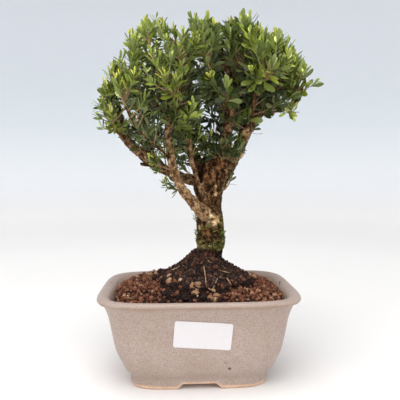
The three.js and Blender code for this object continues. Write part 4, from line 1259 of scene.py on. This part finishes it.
def moss_share(points, patches):
    """How mossy the bark is: round the foot of the trunk, thinly above it and up its right edge."""
    x, _, z = points.T
    collar = np.clip(1.5 - np.abs(z - 102.5) / 3.4, 0, 1) * np.clip(0.6 + 1.6 * patches, 0, 1)
    above = 0.35 * np.clip(1 - np.abs(z - 112) / 8, 0, 1) * np.clip(patches * 2, 0, 1)
    right_edge = np.clip((x - 15.5) / 3, 0, 1) * np.clip((152 - z) / 12, 0, 1)
    return np.maximum(np.maximum(collar, above), 0.7 * right_edge * np.clip(0.45 + patches, 0, 1))


def make_wood(bark):
    """The trunk and all its limbs as one skin with relief in its bark."""
    paths = wood_paths()
    shape = Shape()
    for name, rows in paths.items():
        sides = 28 if name == "trunk" else 14
        shape.add(*tube([Vector(row[:3]) for row in rows], rows[:, 3], sides))
    mesh = modified(shape.mesh("wood"), "REMESH", mode="VOXEL", voxel_size=WOOD_VOXEL * MM)
    edges = np.empty(2 * len(mesh.edges), np.int32)
    mesh.edges.foreach_get("vertices", edges)
    points = relaxed(positions(mesh), edges.reshape(-1, 2), 2)
    move_points(mesh, points)
    normals = np.empty(3 * len(points))
    mesh.vertex_normals.foreach_get("vector", normals)
    relief, tan = bark_values(points, paths)
    points = points + normals.reshape(-1, 3) * (relief + 0.12)[:, None]
    move_points(mesh, points)
    patches = noise_at(points, 5) + 0.5 * noise_at(points, 2)
    add_values(mesh, "relief", np.clip(relief / 0.45, -1, 1))
    add_values(mesh, "tan", np.clip(tan + (0.07 + 0.55 * tan) * patches, 0, 1))
    add_values(mesh, "pale", patch_share(points, PALE_PATCHES, patches))
    add_values(mesh, "rust", patch_share(points, RUST_PATCHES, patches))
    add_values(mesh, "moss", moss_share(points, patches))
    add_values(mesh, "soil", np.clip((98.5 + 3 * patches - points[:, 2]) / 3, 0, 1))
    piece = make_piece("barked_wood", mesh, [bark])
    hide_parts("trunk_and_limbs")


# Foliage


class Line:
    """A path through points, measured along its length."""

    def __init__(self, points):
        self.points = points
        self.lengths = [0.0]
        for before, after in zip(self.points, self.points[1:]):
            self.lengths.append(self.lengths[-1] + (after - before).length)
        self.length = self.lengths[-1]

    def at(self, share):
        target = share * self.length
        i = min(int(np.searchsorted(self.lengths, target, side="right")) - 1, len(self.points) - 2)
        span = self.lengths[i + 1] - self.lengths[i]
        return self.points[i].lerp(self.points[i + 1], (target - self.lengths[i]) / span)

    def tangent(self, share):
        return (self.at(min(share + 0.02, 1)) - self.at(max(share - 0.02, 0))).normalized()


class Curve(Line):
    """A line that starts out one way and bends over to a tip."""

    def __init__(self, start, out, tip):
        self.tip = tip
        bend = start + out * (TWIG["bend"] * (start - tip).length)
        shares = [k / 24 for k in range(25)]
        super().__init__([start * (1 - t) ** 2 + bend * (2 * t * (1 - t)) + tip * t * t for t in shares])


def in_dome(dome, point, scale=1.0):
    shares = [(point[i] - dome["centre"][i]) / dome["radii"][i] for i in range(3)]
    return sum(share * share for share in shares) < scale * scale


def in_crown(point, margin=CROWN_MARGIN):
    return any(in_dome(dome, point, margin) for dome in DOMES)


def in_window(point, margin=0.0):
    x, z = seen(point)
    return any(
        left - margin < x < right + margin and bottom - margin < z < top + margin
        for left, right, bottom, top in WINDOWS
    )


def dome_tips():
    """Even points on the domes, outside each other and above their open undersides."""
    tips = []
    for d, dome in enumerate(DOMES):
        centre, radii = dome["centre"], dome["radii"]
        for i in range(dome["tips"]):
            up = 1 - ((i + 0.5) / dome["tips"]) * (1 - DOME_FLOOR)
            turn = i * GOLDEN_ANGLE + d
            level = math.sqrt(1 - up * up)
            shrink = 1 - DOME_RELIEF * chance(i, 10 + d)
            way = (level * math.cos(turn), level * math.sin(turn), up)
            tip = Vector([centre[k] + radii[k] * shrink * way[k] for k in range(3)])
            buried = any(in_dome(other, tip, DOME_OVERLAP) for other in DOMES if other is not dome)
            if not buried and not in_window(tip):
                tips.append(tip)
    return tips


def limb_points(knots):
    """A limb's own knots with their radii and directions."""
    rows = [real(knot) for knot in knots]
    frames = framed([Vector(row[:3]) for row in rows])
    return [(at, along, row[3]) for (at, along, _, _), row in zip(frames, rows)]


def foot_for(tip, limbs):
    """The limb point that a twig to this tip leaves from: near it and rather below it."""
    best = None
    for limb in limbs:
        for i in range(1, len(limb)):
            for share in (0, 0.5):
                at = limb[i][0].lerp(limb[i - 1][0], share)
                cost = (at - tip).length + FOOT_DROP["cost"] * max(0, at.z + FOOT_DROP["least"] - tip.z)
                if best is None or cost < best[0]:
                    radius = limb[i][2] + (limb[i - 1][2] - limb[i][2]) * share
                    best = (cost, at, limb[i][1], radius, share == 0 and i == len(limb) - 1)
    return best[1:]


def leader(limb):
    """The spray that carries a limb on past its last knot."""
    at, along, radius = limb[-1]
    length = TWIG["leader"]
    while length > TWIG["shortest"] and not in_crown(at + along * length + Vector((0, 0, length / 5))):
        length -= 1
    return at + along * length + Vector((0, 0, length / 5)), (at, along, radius, True), MAIN_PAIRS


def planned_sprays():
    """Tip, foot and leaf pairs of each spray, in the order of the solids' own numbers."""
    trunk = limb_points(TRUNK)
    limbs = [limb_points(knots) for knots in LIMBS.values()]

    def low_spray(row):
        tip = Vector(real(row)[:3])
        return tip, foot_for(tip, [trunk, *limbs]), row[3]

    sprays = [leader(limb) for limb in limbs] + [low_spray(row) for row in LOW_SPRAYS]
    for tip in dome_tips():
        if all((other[0] - tip).length >= TIP_SPACING for other in sprays):
            sprays.append((tip, foot_for(tip, limbs), MAIN_PAIRS))
    return sprays + [low_spray(row) for row in FILL_SPRAYS]


def main_curve(tip, foot):
    """The way of a main twig: on from a limb's end, or out from its side and over to the tip."""
    at, along, radius, last = foot
    to_tip = tip - at
    square = (to_tip - along * to_tip.dot(along)).normalized()
    out = along if last else square
    return Curve(at + out * (0 if last else radius * 0.7), out, tip)


def fork_curve(curve, share, roll, length):
    start = curve.at(share)
    along = curve.tangent(share)
    angle = math.radians(FORK["angle"])
    way = along * math.cos(angle) + square_to(along, roll) * math.sin(angle)
    return Curve(start, way, start + way * length + Vector((0, 0, FORK["lift"])))


def leaf_faces():
    """The faces of one leaf: a grid on top, one below that shares its rim, and the two ends."""
    rows, columns = len(STATIONS), len(COLUMNS)

    def top(r, c):
        return r * columns + c

    def under(r, c):
        return top(r, c) if c in (0, columns - 1) else rows * columns + r * (columns - 2) + c - 1

    upper = []
    lower = []
    for r in range(rows - 1):
        for c in range(columns - 1):
            upper.append((top(r, c), top(r + 1, c), top(r + 1, c + 1), top(r, c + 1)))
            lower.append((under(r, c), under(r, c + 1), under(r + 1, c + 1), under(r + 1, c)))
    ends = []
    for r in (0, rows - 1):
        end = [top(r, c) for c in range(columns)] + [under(r, c) for c in range(columns - 2, 0, -1)]
        ends.append(end if r == 0 else end[::-1])
    return np.array(upper), np.array(lower), np.array(ends)


LEAF_UPPER, LEAF_LOWER, LEAF_ENDS = leaf_faces()


class Foliage:
    """The leaves and twigs of one piece, gathered before they are made."""

    def __init__(self):
        self.leaves = []
        self.shape = Shape("age", "tone", "along", "across")

    def leaf(self, root, along, lift, length, width, fold, curl, age, tone):
        self.leaves.append((*root, *along, *lift, length, width, fold, curl, age, tone))

    def twig(self, curve, kind, old=True):
        """A twig of one of the kinds in TWIG_RADII, brown at its foot if it is old."""
        steps = max(2, round(curve.length / 4))
        points = [curve.at(k / steps) for k in range(steps + 1)]
        radii = np.linspace(*TWIG_RADII[kind], steps + 1)
        shares = np.repeat(np.linspace(0 if old else 0.5, 1, steps + 1), TWIG_SIDES)
        self.shape.add(*tube(points, radii, TWIG_SIDES), slot=2, along=shares, age=0.5, tone=0.5, across=1)

    def add_leaves(self):
        """All the leaves at once: each bends along its middle and folds up from it."""
        rows = np.array(self.leaves)
        root, along, lift = rows[:, 0:3], rows[:, 3:6], rows[:, 6:9]
        length, width, fold, curl, age, tone = (rows[:, k][:, None] for k in range(9, 15))
        curl = np.where(np.abs(curl) < 0.02, 0.02, curl)
        side = np.cross(lift, along)
        turn = curl * STATIONS
        centre = (
            root[:, None] + along[:, None] * (length * np.sin(turn) / curl)[..., None]
            + lift[:, None] * (length * (1 - np.cos(turn)) / curl)[..., None]
        )
        up = lift[:, None] * np.cos(turn)[..., None] - along[:, None] * np.sin(turn)[..., None]
        across = (width / 2 * HALF_WIDTHS)[..., None] * COLUMNS
        rise = fold[..., None] * np.abs(across) - 0.05 * across**2
        middle, sideways, upwards = centre[:, :, None], side[:, None, None], up[:, :, None]
        upper = middle + sideways * across[..., None] + upwards * rise[..., None]
        lower = upper[:, :, 1:-1] - upwards * LEAF["thickness"]
        count = len(rows)
        points = np.concatenate([upper.reshape(count, -1, 3), lower.reshape(count, -1, 3)], axis=1)
        each = points.shape[1]
        starts = each * np.arange(count)[:, None, None]
        grid_along = np.concatenate([np.repeat(STATIONS, len(COLUMNS)), STATIONS])
        grid_across = np.concatenate([np.tile(np.abs(COLUMNS), len(STATIONS)), 0 * STATIONS])
        values = {
            "age": np.repeat(age, each), "tone": np.repeat(tone, each),
            "along": np.tile(grid_along, count), "across": np.tile(grid_across, count),
        }
        first = self.shape.count
        self.shape.add(points, (LEAF_UPPER + starts).reshape(-1, 4), slot=0, **values)
        for faces in (LEAF_LOWER, LEAF_ENDS):
            self.shape.add_faces((faces + starts).reshape(-1, faces.shape[1]), first, 1)

    def piece(self, name, mesh_name, materials):
        self.add_leaves()
        return make_piece(name, self.shape.mesh(mesh_name), materials, crease=60)


def crown_place(tip):
    """How far out, how high and how far left in the crown a shoot is, each from 0 to 1."""
    def depth_in(dome):
        shares = [(tip[i] - dome["centre"][i]) / dome["radii"][i] for i in range(3)]
        return math.sqrt(sum(share**2 for share in shares))

    outer = (min(depth_in(dome) for dome in DOMES) - 0.55) / 0.45
    return clamped(outer), clamped((tip.z - 165) / 90), clamped((12 - tip.x) / 45)


def old_age_and_painted_light(tip, seed):
    """The age number of last year's leaves, near 0, raised on the crown's outside, top and sides so that
    their colour is lighter there: painted light outside and painted shade inside the crown.
    """
    outer, high, left = crown_place(tip)
    right = clamped((tip.x - 25) / 25)
    return 0.02 + outer * (0.17 * high + 0.2 * left + 0.15 * right + 0.16 * chance(seed, 4))


def new_age(tip, seed):
    """The age number of the newest leaves: most shoots flush on the left, fewer on the right."""
    outer, high, left = crown_place(tip)
    low = 0.85 if tip.z < 165 else 1
    if chance(seed, 3) < 0.35 + 0.15 * outer * high + 0.45 * left:
        return (0.48 + 0.35 * chance(seed, 9)) * low
    return (0.18 + 0.25 * chance(seed, 9)) * low


def leaf_scale(place):
    """Leaves are smaller and narrower on the left, where the growth is young: length and width."""
    left = clamped((14 - place.x) / 34)
    return 1 - 0.17 * left, 1 - 0.3 * left


def grow(foliage, curve, seed, pairs, age, size=1.0, spacing=2.1, tip_age=None):
    """Leaves in pairs along a twig from its tip back, the newest ones upright."""
    steps = 12
    length_scale, width_scale = leaf_scale(curve.at(1))
    path = framed([curve.at(k / steps) for k in range(steps + 1)], 2 * math.pi * chance(seed, 20))
    for q in range(pairs):
        back = q * spacing * (0.9 + 0.25 * chance(seed, 60 + q))
        if back > curve.length - 1.2:
            break
        at = curve.at(1 - back / curve.length)
        _, along, side, up = path[min(steps, round((1 - back / curve.length) * steps))]
        cross_turn = 0.5 * (q % 4 in (2, 3)) + 0.25 * (q % 2)
        for j in (0, 1):
            draw = [chance(seed, 100 + 16 * q + 8 * j + k) for k in range(8)]
            turn = math.pi * (j + 0.25 + cross_turn) + 0.5 * (draw[0] - 0.5)
            lean = math.radians(PAIR_LEANS[min(q, 4)] + 22 * (draw[1] - 0.5))
            out = side * math.cos(turn) + up * math.sin(turn)
            way = (along * math.cos(lean) + out * math.sin(lean)).normalized()
            lift = (along * math.sin(lean) - out * math.cos(lean)).normalized()
            lift = Matrix.Rotation(0.8 * (draw[2] - 0.5), 3, way) @ lift
            scale = size * PAIR_SIZES[min(q, 2)] * (0.74 + 0.36 * draw[3])
            own_age = age if tip_age is None else age + (tip_age - age) * TIP_AGE_SHARES[min(q, 3)]
            own_age = clamped(own_age + 0.24 * (draw[5] - 0.52))
            length = LEAF["length"] * length_scale * scale
            width = LEAF["width"] * width_scale * scale * (0.86 + 0.26 * draw[4]) * (1 - 0.2 * own_age)
            fold, curl = -0.22 + 0.55 * draw[5], -0.3 + 0.9 * draw[6]
            foliage.leaf(at + out * 0.2, way, lift, length, width, fold, curl, own_age, draw[7])


def grow_tuft(foliage, curve, seed, age, size=1.0):
    """New growth that turns up from a twig's tip, its leaves small, narrow and bright."""
    tip, tangent = curve.at(1), curve.tangent(1)
    length = size * (2 + 3.5 * (1 - max(0, tangent.z)) + 3 * chance(seed, 30))
    shoot = Curve(tip, tangent, tip + (tangent * 0.4 + Vector((0, 0, 0.6))).normalized() * length)
    foliage.twig(shoot, "tuft", old=False)
    grow(foliage, shoot, seed + 7, 3, age, size=0.95 * size, spacing=1.9, tip_age=min(1, age + 0.15))


def in_clearing(point):
    """Whether a shoot there would hide a limb that the photo shows bare."""
    x, z = seen(point)
    return any(
        left < x < right and bottom < z < top and point[1] < depth
        for left, right, bottom, top, depth in CLEARINGS
    )


def in_outline(point, room=6):
    """Whether a shoot's tip leaves room for its leaves inside the crown's edge, as seen from EYE."""
    x, z = seen(point)
    across, up = x - OUTLINE_MIDDLE[0], z - OUTLINE_MIDDLE[1]
    edge = np.array(OUTLINE) - OUTLINE_MIDDLE
    bearing = math.atan2(up, across)
    if OPEN_BEARINGS[0] < bearing < OPEN_BEARINGS[1]:
        return True
    reach = np.interp(bearing, np.arctan2(*edge.T[::-1]), np.hypot(*edge.T), period=2 * math.pi)
    return math.hypot(across, up) + room * (1 + 0.5 * max(0, math.sin(bearing))) < reach


def drawn_in(tip, foot):
    """A spray's tip, moved towards its foot a little where its leaves would pass the crown's edge."""
    for share in np.arange(0, 0.6, 0.05):
        moved = tip.lerp(foot[0], share)
        if in_outline(moved):
            break
    return moved


def fork_for(curve, share, seed, length, new, free):
    """A side twig inside the crown, clear of the gaps: the new ones turn up."""
    roll = 2 * math.pi * chance(seed, 21)
    for tried in range(6):
        fork = fork_curve(curve, share, roll + tried * GOLDEN_ANGLE, length)
        if new:
            start, tip = fork.at(0), fork.at(1) + Vector((0, 0, 0.4 * length))
            fork = Curve(start, fork.tangent(0), tip)
        tip = fork.at(1)
        inside = in_crown(tip) and not in_window(tip, 1) and not in_clearing(tip) and in_outline(tip, 5)
        if free or inside:
            return fork
    return None


def make_low_spray(seed, tip, foot):
    """A small sprig that hugs the trunk."""
    foliage = Foliage()
    curve = main_curve(tip.lerp(foot[0], 0.3), foot)
    foliage.twig(curve, "low")
    grow(foliage, curve, seed, 2, 0.35, size=0.5, spacing=1.6)
    return foliage


def settled_tip(tip, foot, small):
    """A spray's tip, drawn in where its leaves would hide a limb or pass the crown's edge."""
    if small and tip.z < 160:
        return tip.lerp(foot[0], 0.5 if tip.x < 0 else 0.25) + Vector((0, 0, 6))
    if small and in_clearing(tip):
        return tip.lerp(foot[0], 0.45)
    return drawn_in(tip, foot)


def make_spray(seed, tip, foot, pairs):
    """One spray: a main twig near the solids' own, and more forks than they can hold."""
    foliage = Foliage()
    small = pairs < MAIN_PAIRS
    outside = small and not in_outline(tip)
    tip = settled_tip(tip, foot, small)
    curve = main_curve(tip, foot)
    foliage.twig(curve, "main")
    size = (0.6, 0.8, 1)[pairs - 1]
    grow(foliage, curve, seed, 4 if small else 9, old_age_and_painted_light(tip, seed), size=size)
    grow_tuft(foliage, curve, seed, new_age(tip, seed), size=size)
    if small:
        places = FORK_PLACES[:1 if outside else 3] if pairs == 2 else ()
    else:
        sparse = in_clearing(tip) or (tip.x < -25 and tip.z < 205)
        places = FORK_PLACES[:5 if sparse else None]
    for k, share in enumerate(places):
        fork_seed = seed + FORK_SEED * (k + 1)
        length = FORK["length"] * (1 if k < 2 else 0.75 + 0.5 * chance(fork_seed, 22))
        fork = fork_for(curve, share, fork_seed, length * size, k > 1, small)
        if fork is None:
            continue
        foliage.twig(fork, "fork", old=False)
        fork_tip = fork.at(1)
        grow(foliage, fork, fork_seed, 5, old_age_and_painted_light(fork_tip, fork_seed), size=size)
        grow_tuft(foliage, fork, fork_seed, new_age(fork_tip, fork_seed), size=0.9 * size)
    return foliage


def make_placed_shoots(shoots, limbs, first_seed, age):
    """Thin twigs where the photo shows them: the dark ones in the gaps, the young ones at the edge."""
    foliage = Foliage()
    for n, row in enumerate(shoots):
        seed, pairs = first_seed + n, row[3]
        tip = Vector(real(row)[:3])
        curve = main_curve(tip, foot_for(tip, limbs))
        foliage.twig(curve, "shoot")
        grow(foliage, curve, seed, 3 * pairs, age, size=0.9, spacing=2.6, tip_age=1.8 * age)
        for k, share in enumerate((0.6, 0.35)[:pairs]):
            fork = fork_curve(curve, share, 2 * math.pi * chance(seed, 21 + k), 9)
            foliage.twig(fork, "side_shoot", old=False)
            fork_seed = seed + FORK_SEED * (k + 1)
            grow(foliage, fork, fork_seed, 3, age, size=0.85, spacing=2.4, tip_age=1.6 * age)
    return foliage


def inner_curve(at, along, radius, seed):
    """A short shoot from a limb inside the crown that is clear of the gaps, if one of five tries is."""
    for tried in range(5):
        way = along * 0.35 + square_to(along, 2 * math.pi * chance(seed, 2) + tried * GOLDEN_ANGLE)
        way.normalize()
        tip = at + way * (radius + (8 + 7 * chance(seed, 8))) + Vector((0, 0, 3))
        if in_crown(tip, 1) and not in_window(tip, 2) and not in_clearing(tip) and in_outline(tip):
            return Curve(at + way * radius * 0.7, way, tip)
    return None


def make_inner_shoots(names):
    """Short leafy shoots along the limbs inside the crown, their leaves darker than the outer ones:
    painted shade inside the crown.
    """
    foliage = Foliage()
    paths = wood_paths()
    for name in names:
        rows = paths[name]
        frames = framed([Vector(row[:3]) for row in rows])
        limb_seed = SHOOT_SEEDS["inner"] + SEEDS_FOR_LIMB * list(LIMBS).index(name)
        for n, i in enumerate(range(2, len(rows) - 2, 2)):
            at, along, _, _ = frames[i]
            seed = limb_seed + n
            if rows[i][3] > 4.2 or at.z < 164 or chance(seed, 1) < 0.1:
                continue
            curve = inner_curve(at, along, rows[i][3], seed)
            if curve is not None:
                foliage.twig(curve, "shoot", old=False)
                # Half the outer leaves' age number: painted shade inside the crown
                grow(foliage, curve, seed, 5, 0.5 * old_age_and_painted_light(curve.tip, seed))
        if rows[0][3] < 2.2:
            reach = round(len(frames) * LEAFY_SHARES.get(name, 1))
            line = Line([at for at, _, _, _ in frames[:reach]])
            last_seed = limb_seed + SEEDS_FOR_LIMB - 1
            grow(foliage, line, last_seed, round(line.length / 3.2), 0.14, size=0.9, spacing=3)
    return foliage


def make_foliage(materials):
    """Every planned spray, then the shoots between them."""
    for seed, (tip, foot, pairs) in enumerate(planned_sprays()):
        number = f"{seed + 1:02d}"
        foliage = make_low_spray(seed, tip, foot) if tip.z < 130 else make_spray(seed, tip, foot, pairs)
        piece = foliage.piece("foliage_" + number, "spray_" + number, materials)
        if "spray_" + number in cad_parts:
            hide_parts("spray_" + number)
    names = list(LIMBS)
    limbs = [limb_points(knots) for knots in LIMBS.values()]
    groups = {
        "left": make_inner_shoots(names[:8]),
        "middle": make_inner_shoots(names[8:12] + names[17:]),
        "right": make_inner_shoots(names[12:17]),
        "gaps": make_placed_shoots(GAP_SHOOTS, limbs, SHOOT_SEEDS["gaps"], 0),
        "edge": make_placed_shoots(EDGE_SHOOTS, limbs, SHOOT_SEEDS["edge"], 0.3),
    }
    for group, foliage in groups.items():
        foliage.piece("inner_foliage_" + group, "inner_" + group, materials)


def make_moss(moss):
    """Cushions of moss round the trunk's foot."""
    numbers = random_numbers(SEEDS["moss"])
    count = 300
    turn = numbers.uniform(0, 2 * np.pi, count)
    z = numbers.normal(102.5, 2.1, count)
    radius = np.interp(z, [92, 99, 106, 117], [8.6, 10, 10.6, 10])
    axis = real((10.2, 104, 0, 0))
    centres = np.stack([axis[0] + radius * np.cos(turn), radius * np.sin(turn), z], axis=-1)
    keep = noise_at(centres, 4) > -0.12
    shape = Shape()
    sizes = numbers.uniform(0.4, 1.1, count)[keep]
    add_stones(shape, centres[keep], sizes, SEEDS["moss_stones"], squash=0.6)
    make_piece("trunk_moss", shape.mesh("trunk_moss"), [moss])


def make_seedlings(leaf_materials):
    """Tiny leaves that cling to the moss and the bark above it."""
    foliage = Foliage()
    axis_x, skin = 10, 10.3
    for n, (across, up, spread, leaves) in enumerate(SEEDLINGS):
        for k in range(leaves):
            draw = [chance(SHOOT_SEEDS["seedlings"] + 10 * n + k, 5 + q) for q in range(6)]
            turn = math.atan2(-0.9, (across - axis_x) / 10) + 0.5 * (draw[0] - 0.5)
            height = up + spread * (draw[1] - 0.5)
            place = Vector((axis_x + skin * math.cos(turn), skin * math.sin(turn), height))
            out = Vector((math.cos(turn), math.sin(turn), 0.3))
            aside = Vector((-math.sin(turn), math.cos(turn), 0.25)) * (1 if k % 2 else -1)
            way = (0.6 * out + aside + Vector((0, 0, 1.4 * draw[4] - 0.6))).normalized()
            lift = way.cross(Vector((-way.y, way.x, 0))).normalized()
            size = 0.28 + 0.2 * draw[5]
            age = 0.17 + 0.14 * draw[2]
            foliage.leaf(place, way, lift, 14 * size, 6.6 * size, 0.2, 0.4, age, draw[3])
    foliage.piece("seedlings", "seedlings", leaf_materials)


# Stage, lights and camera: the first two in metres

STAGE = {"floor_radius": 0.6, "wall_radius": 1.9, "sweep_height": 0.9, "wall_heights": (1.6, 2.4)}
ROOM_LIGHT = {"colour": (0.93, 0.96, 1, 1), "strength": 0.18}
MIDDLE = (0, 0, 0.14)
# Each light's name, place, target, size and power in watts
LIGHTS = [
    ("overhead", (-0.1, -0.35, 1.15), MIDDLE, (1, 0.9), 15.6),
    ("front_left", (-0.9, -0.9, 0.75), MIDDLE, (0.8, 0.8), 3.4),
    ("front_right", (0.9, -1, 0.75), MIDDLE, (0.8, 0.8), 2.9),
    ("backdrop_wash", (0, 0.6, 1.6), (0, 1.9, 0.4), (1.8, 0.4), 2),
]


def backdrop_material():
    """A pale matt paint, darker and bluer higher up as painted shade, that glows more away from the object
    and up the wall as painted light, as a lit studio wall does.
    """
    look = Look("backdrop_painted_light", Specular_IOR_Level=0.1, Roughness=0.9)
    height = look.height()
    # Darker and bluer higher up: painted shade
    colour = look.ramp(
        look.between(height, 0, 1.1), (0, (0.84, 0.817, 0.793)), (0.03, (0.835, 0.84, 0.845)),
        (0.25, (0.73, 0.77, 0.795)), (1, (0.62, 0.64, 0.675)),
    )
    level = {0: look.stretched(1, 1, 0)}
    out = look.add("ShaderNodeVectorMath", level, operation="LENGTH").outputs["Value"]
    # Glow away from the object and up the wall: painted light
    painted_glow = look.between(out, 0.3, 0.62, 0, 0.09)
    for low, high, more in ((0, 0.05, 0.07), (0.05, 0.2, 0.06), (0.5, 1.1, 0.05)):
        painted_glow = look.maths("ADD", painted_glow, look.between(height, low, high, 0, more))
    look.links.new(colour, look.shader.inputs["Emission Color"])
    look.links.new(painted_glow, look.shader.inputs["Emission Strength"])
    grain = look.noise(60, detail=3)
    return look.finish(colour, look.between(grain, 0, 1, 0.85, 0.95), look.bump(grain, 0.02, 0.1))


def make_stage():
    """A pale round floor that sweeps up into a wall on every side, in metres."""
    floor, wall, sweep = STAGE["floor_radius"], STAGE["wall_radius"], STAGE["sweep_height"]
    profile = [(radius, 0) for radius in (0.02, 0.2, 0.4, floor)]
    for t in np.linspace(0.06, math.pi / 2, 26):
        profile.append((floor + (wall - floor) * math.sin(t), sweep - sweep * math.cos(t)))
    profile += [(wall, height) for height in STAGE["wall_heights"]]
    turns = turns_round(72)
    rings = [[(r * math.cos(t), r * math.sin(t), z) for t in turns] for r, z in profile]
    points, quads, caps = loft(rings)
    mesh = bpy.data.meshes.new("backdrop")
    mesh.from_pydata(points.tolist(), [], quads[:, ::-1].tolist() + [caps[0][::-1]])
    mesh.polygons.foreach_set("use_smooth", [True] * len(mesh.polygons))
    mesh.materials.append(backdrop_material())
    linked("backdrop", mesh)


def area_light(name, place, target, size, power):
    data = bpy.data.lights.new(name, "AREA")
    data.shape = "RECTANGLE"
    data.size, data.size_y = size
    data.energy = power
    light = linked(name, data)
    light.location = place
    light.rotation_euler = (Vector(target) - Vector(place)).to_track_quat("-Z", "Y").to_euler()


def make_lights():
    world = bpy.data.worlds.new("soft_room")
    world.use_nodes = True
    background = world.node_tree.nodes["Background"]
    background.inputs["Color"].default_value = ROOM_LIGHT["colour"]
    background.inputs["Strength"].default_value = ROOM_LIGHT["strength"]
    bpy.context.scene.world = world
    bpy.context.scene.view_settings.view_transform = "Standard"
    for light in LIGHTS:
        area_light(*light)


# The camera's place in millimetres and its angles come from the photograph's perspective.
CAMERA = {
    "place": (-15.07, -335.7, 155.5), "turn": 2.57, "pitch": 3.22,
    "focal_px": 428, "width_px": 400, "aside_px": 2.14,
}


def make_camera():
    data = bpy.data.cameras.new("camera")
    data.sensor_width = 36
    data.lens = data.sensor_width * CAMERA["focal_px"] / CAMERA["width_px"]
    data.shift_x = CAMERA["aside_px"] / CAMERA["width_px"]
    data.clip_start = 0.01
    camera = linked("camera", data)
    camera.location = Vector(CAMERA["place"]) * MM + ORIGIN
    turn, pitch = math.radians(CAMERA["turn"]), math.radians(CAMERA["pitch"])
    ahead = Vector((math.sin(turn) * math.cos(pitch), math.cos(turn) * math.cos(pitch), -math.sin(pitch)))
    camera.rotation_euler = ahead.to_track_quat("-Z", "Y").to_euler()
    bpy.context.scene.camera = camera


make_camera()
make_stage()
make_lights()
leaf_top = leaf_material("leaf_upper_side", UPPER_SIDE_STOPS, roughness=0.31, veins=0.35, sheen=0.5)
leaf_under = leaf_material("leaf_underside", UNDERSIDE_STOPS, roughness=0.5, veins=0.5, sheen=0)
foliage_materials = [leaf_top, leaf_under, twig_material()]
make_pot(glaze_material(), clay_material())
make_label(paper_material())
colour_screens(screen_material())
granule_look = granule_material()
make_bed(granule_look)
make_peat(peat_material())
make_mound_crumbs(granule_look)
make_roots(root_material())
make_lumps(chip_material())
make_wood(bark_material())
make_foliage(foliage_materials)
make_moss(moss_material())
make_seedlings(foliage_materials)
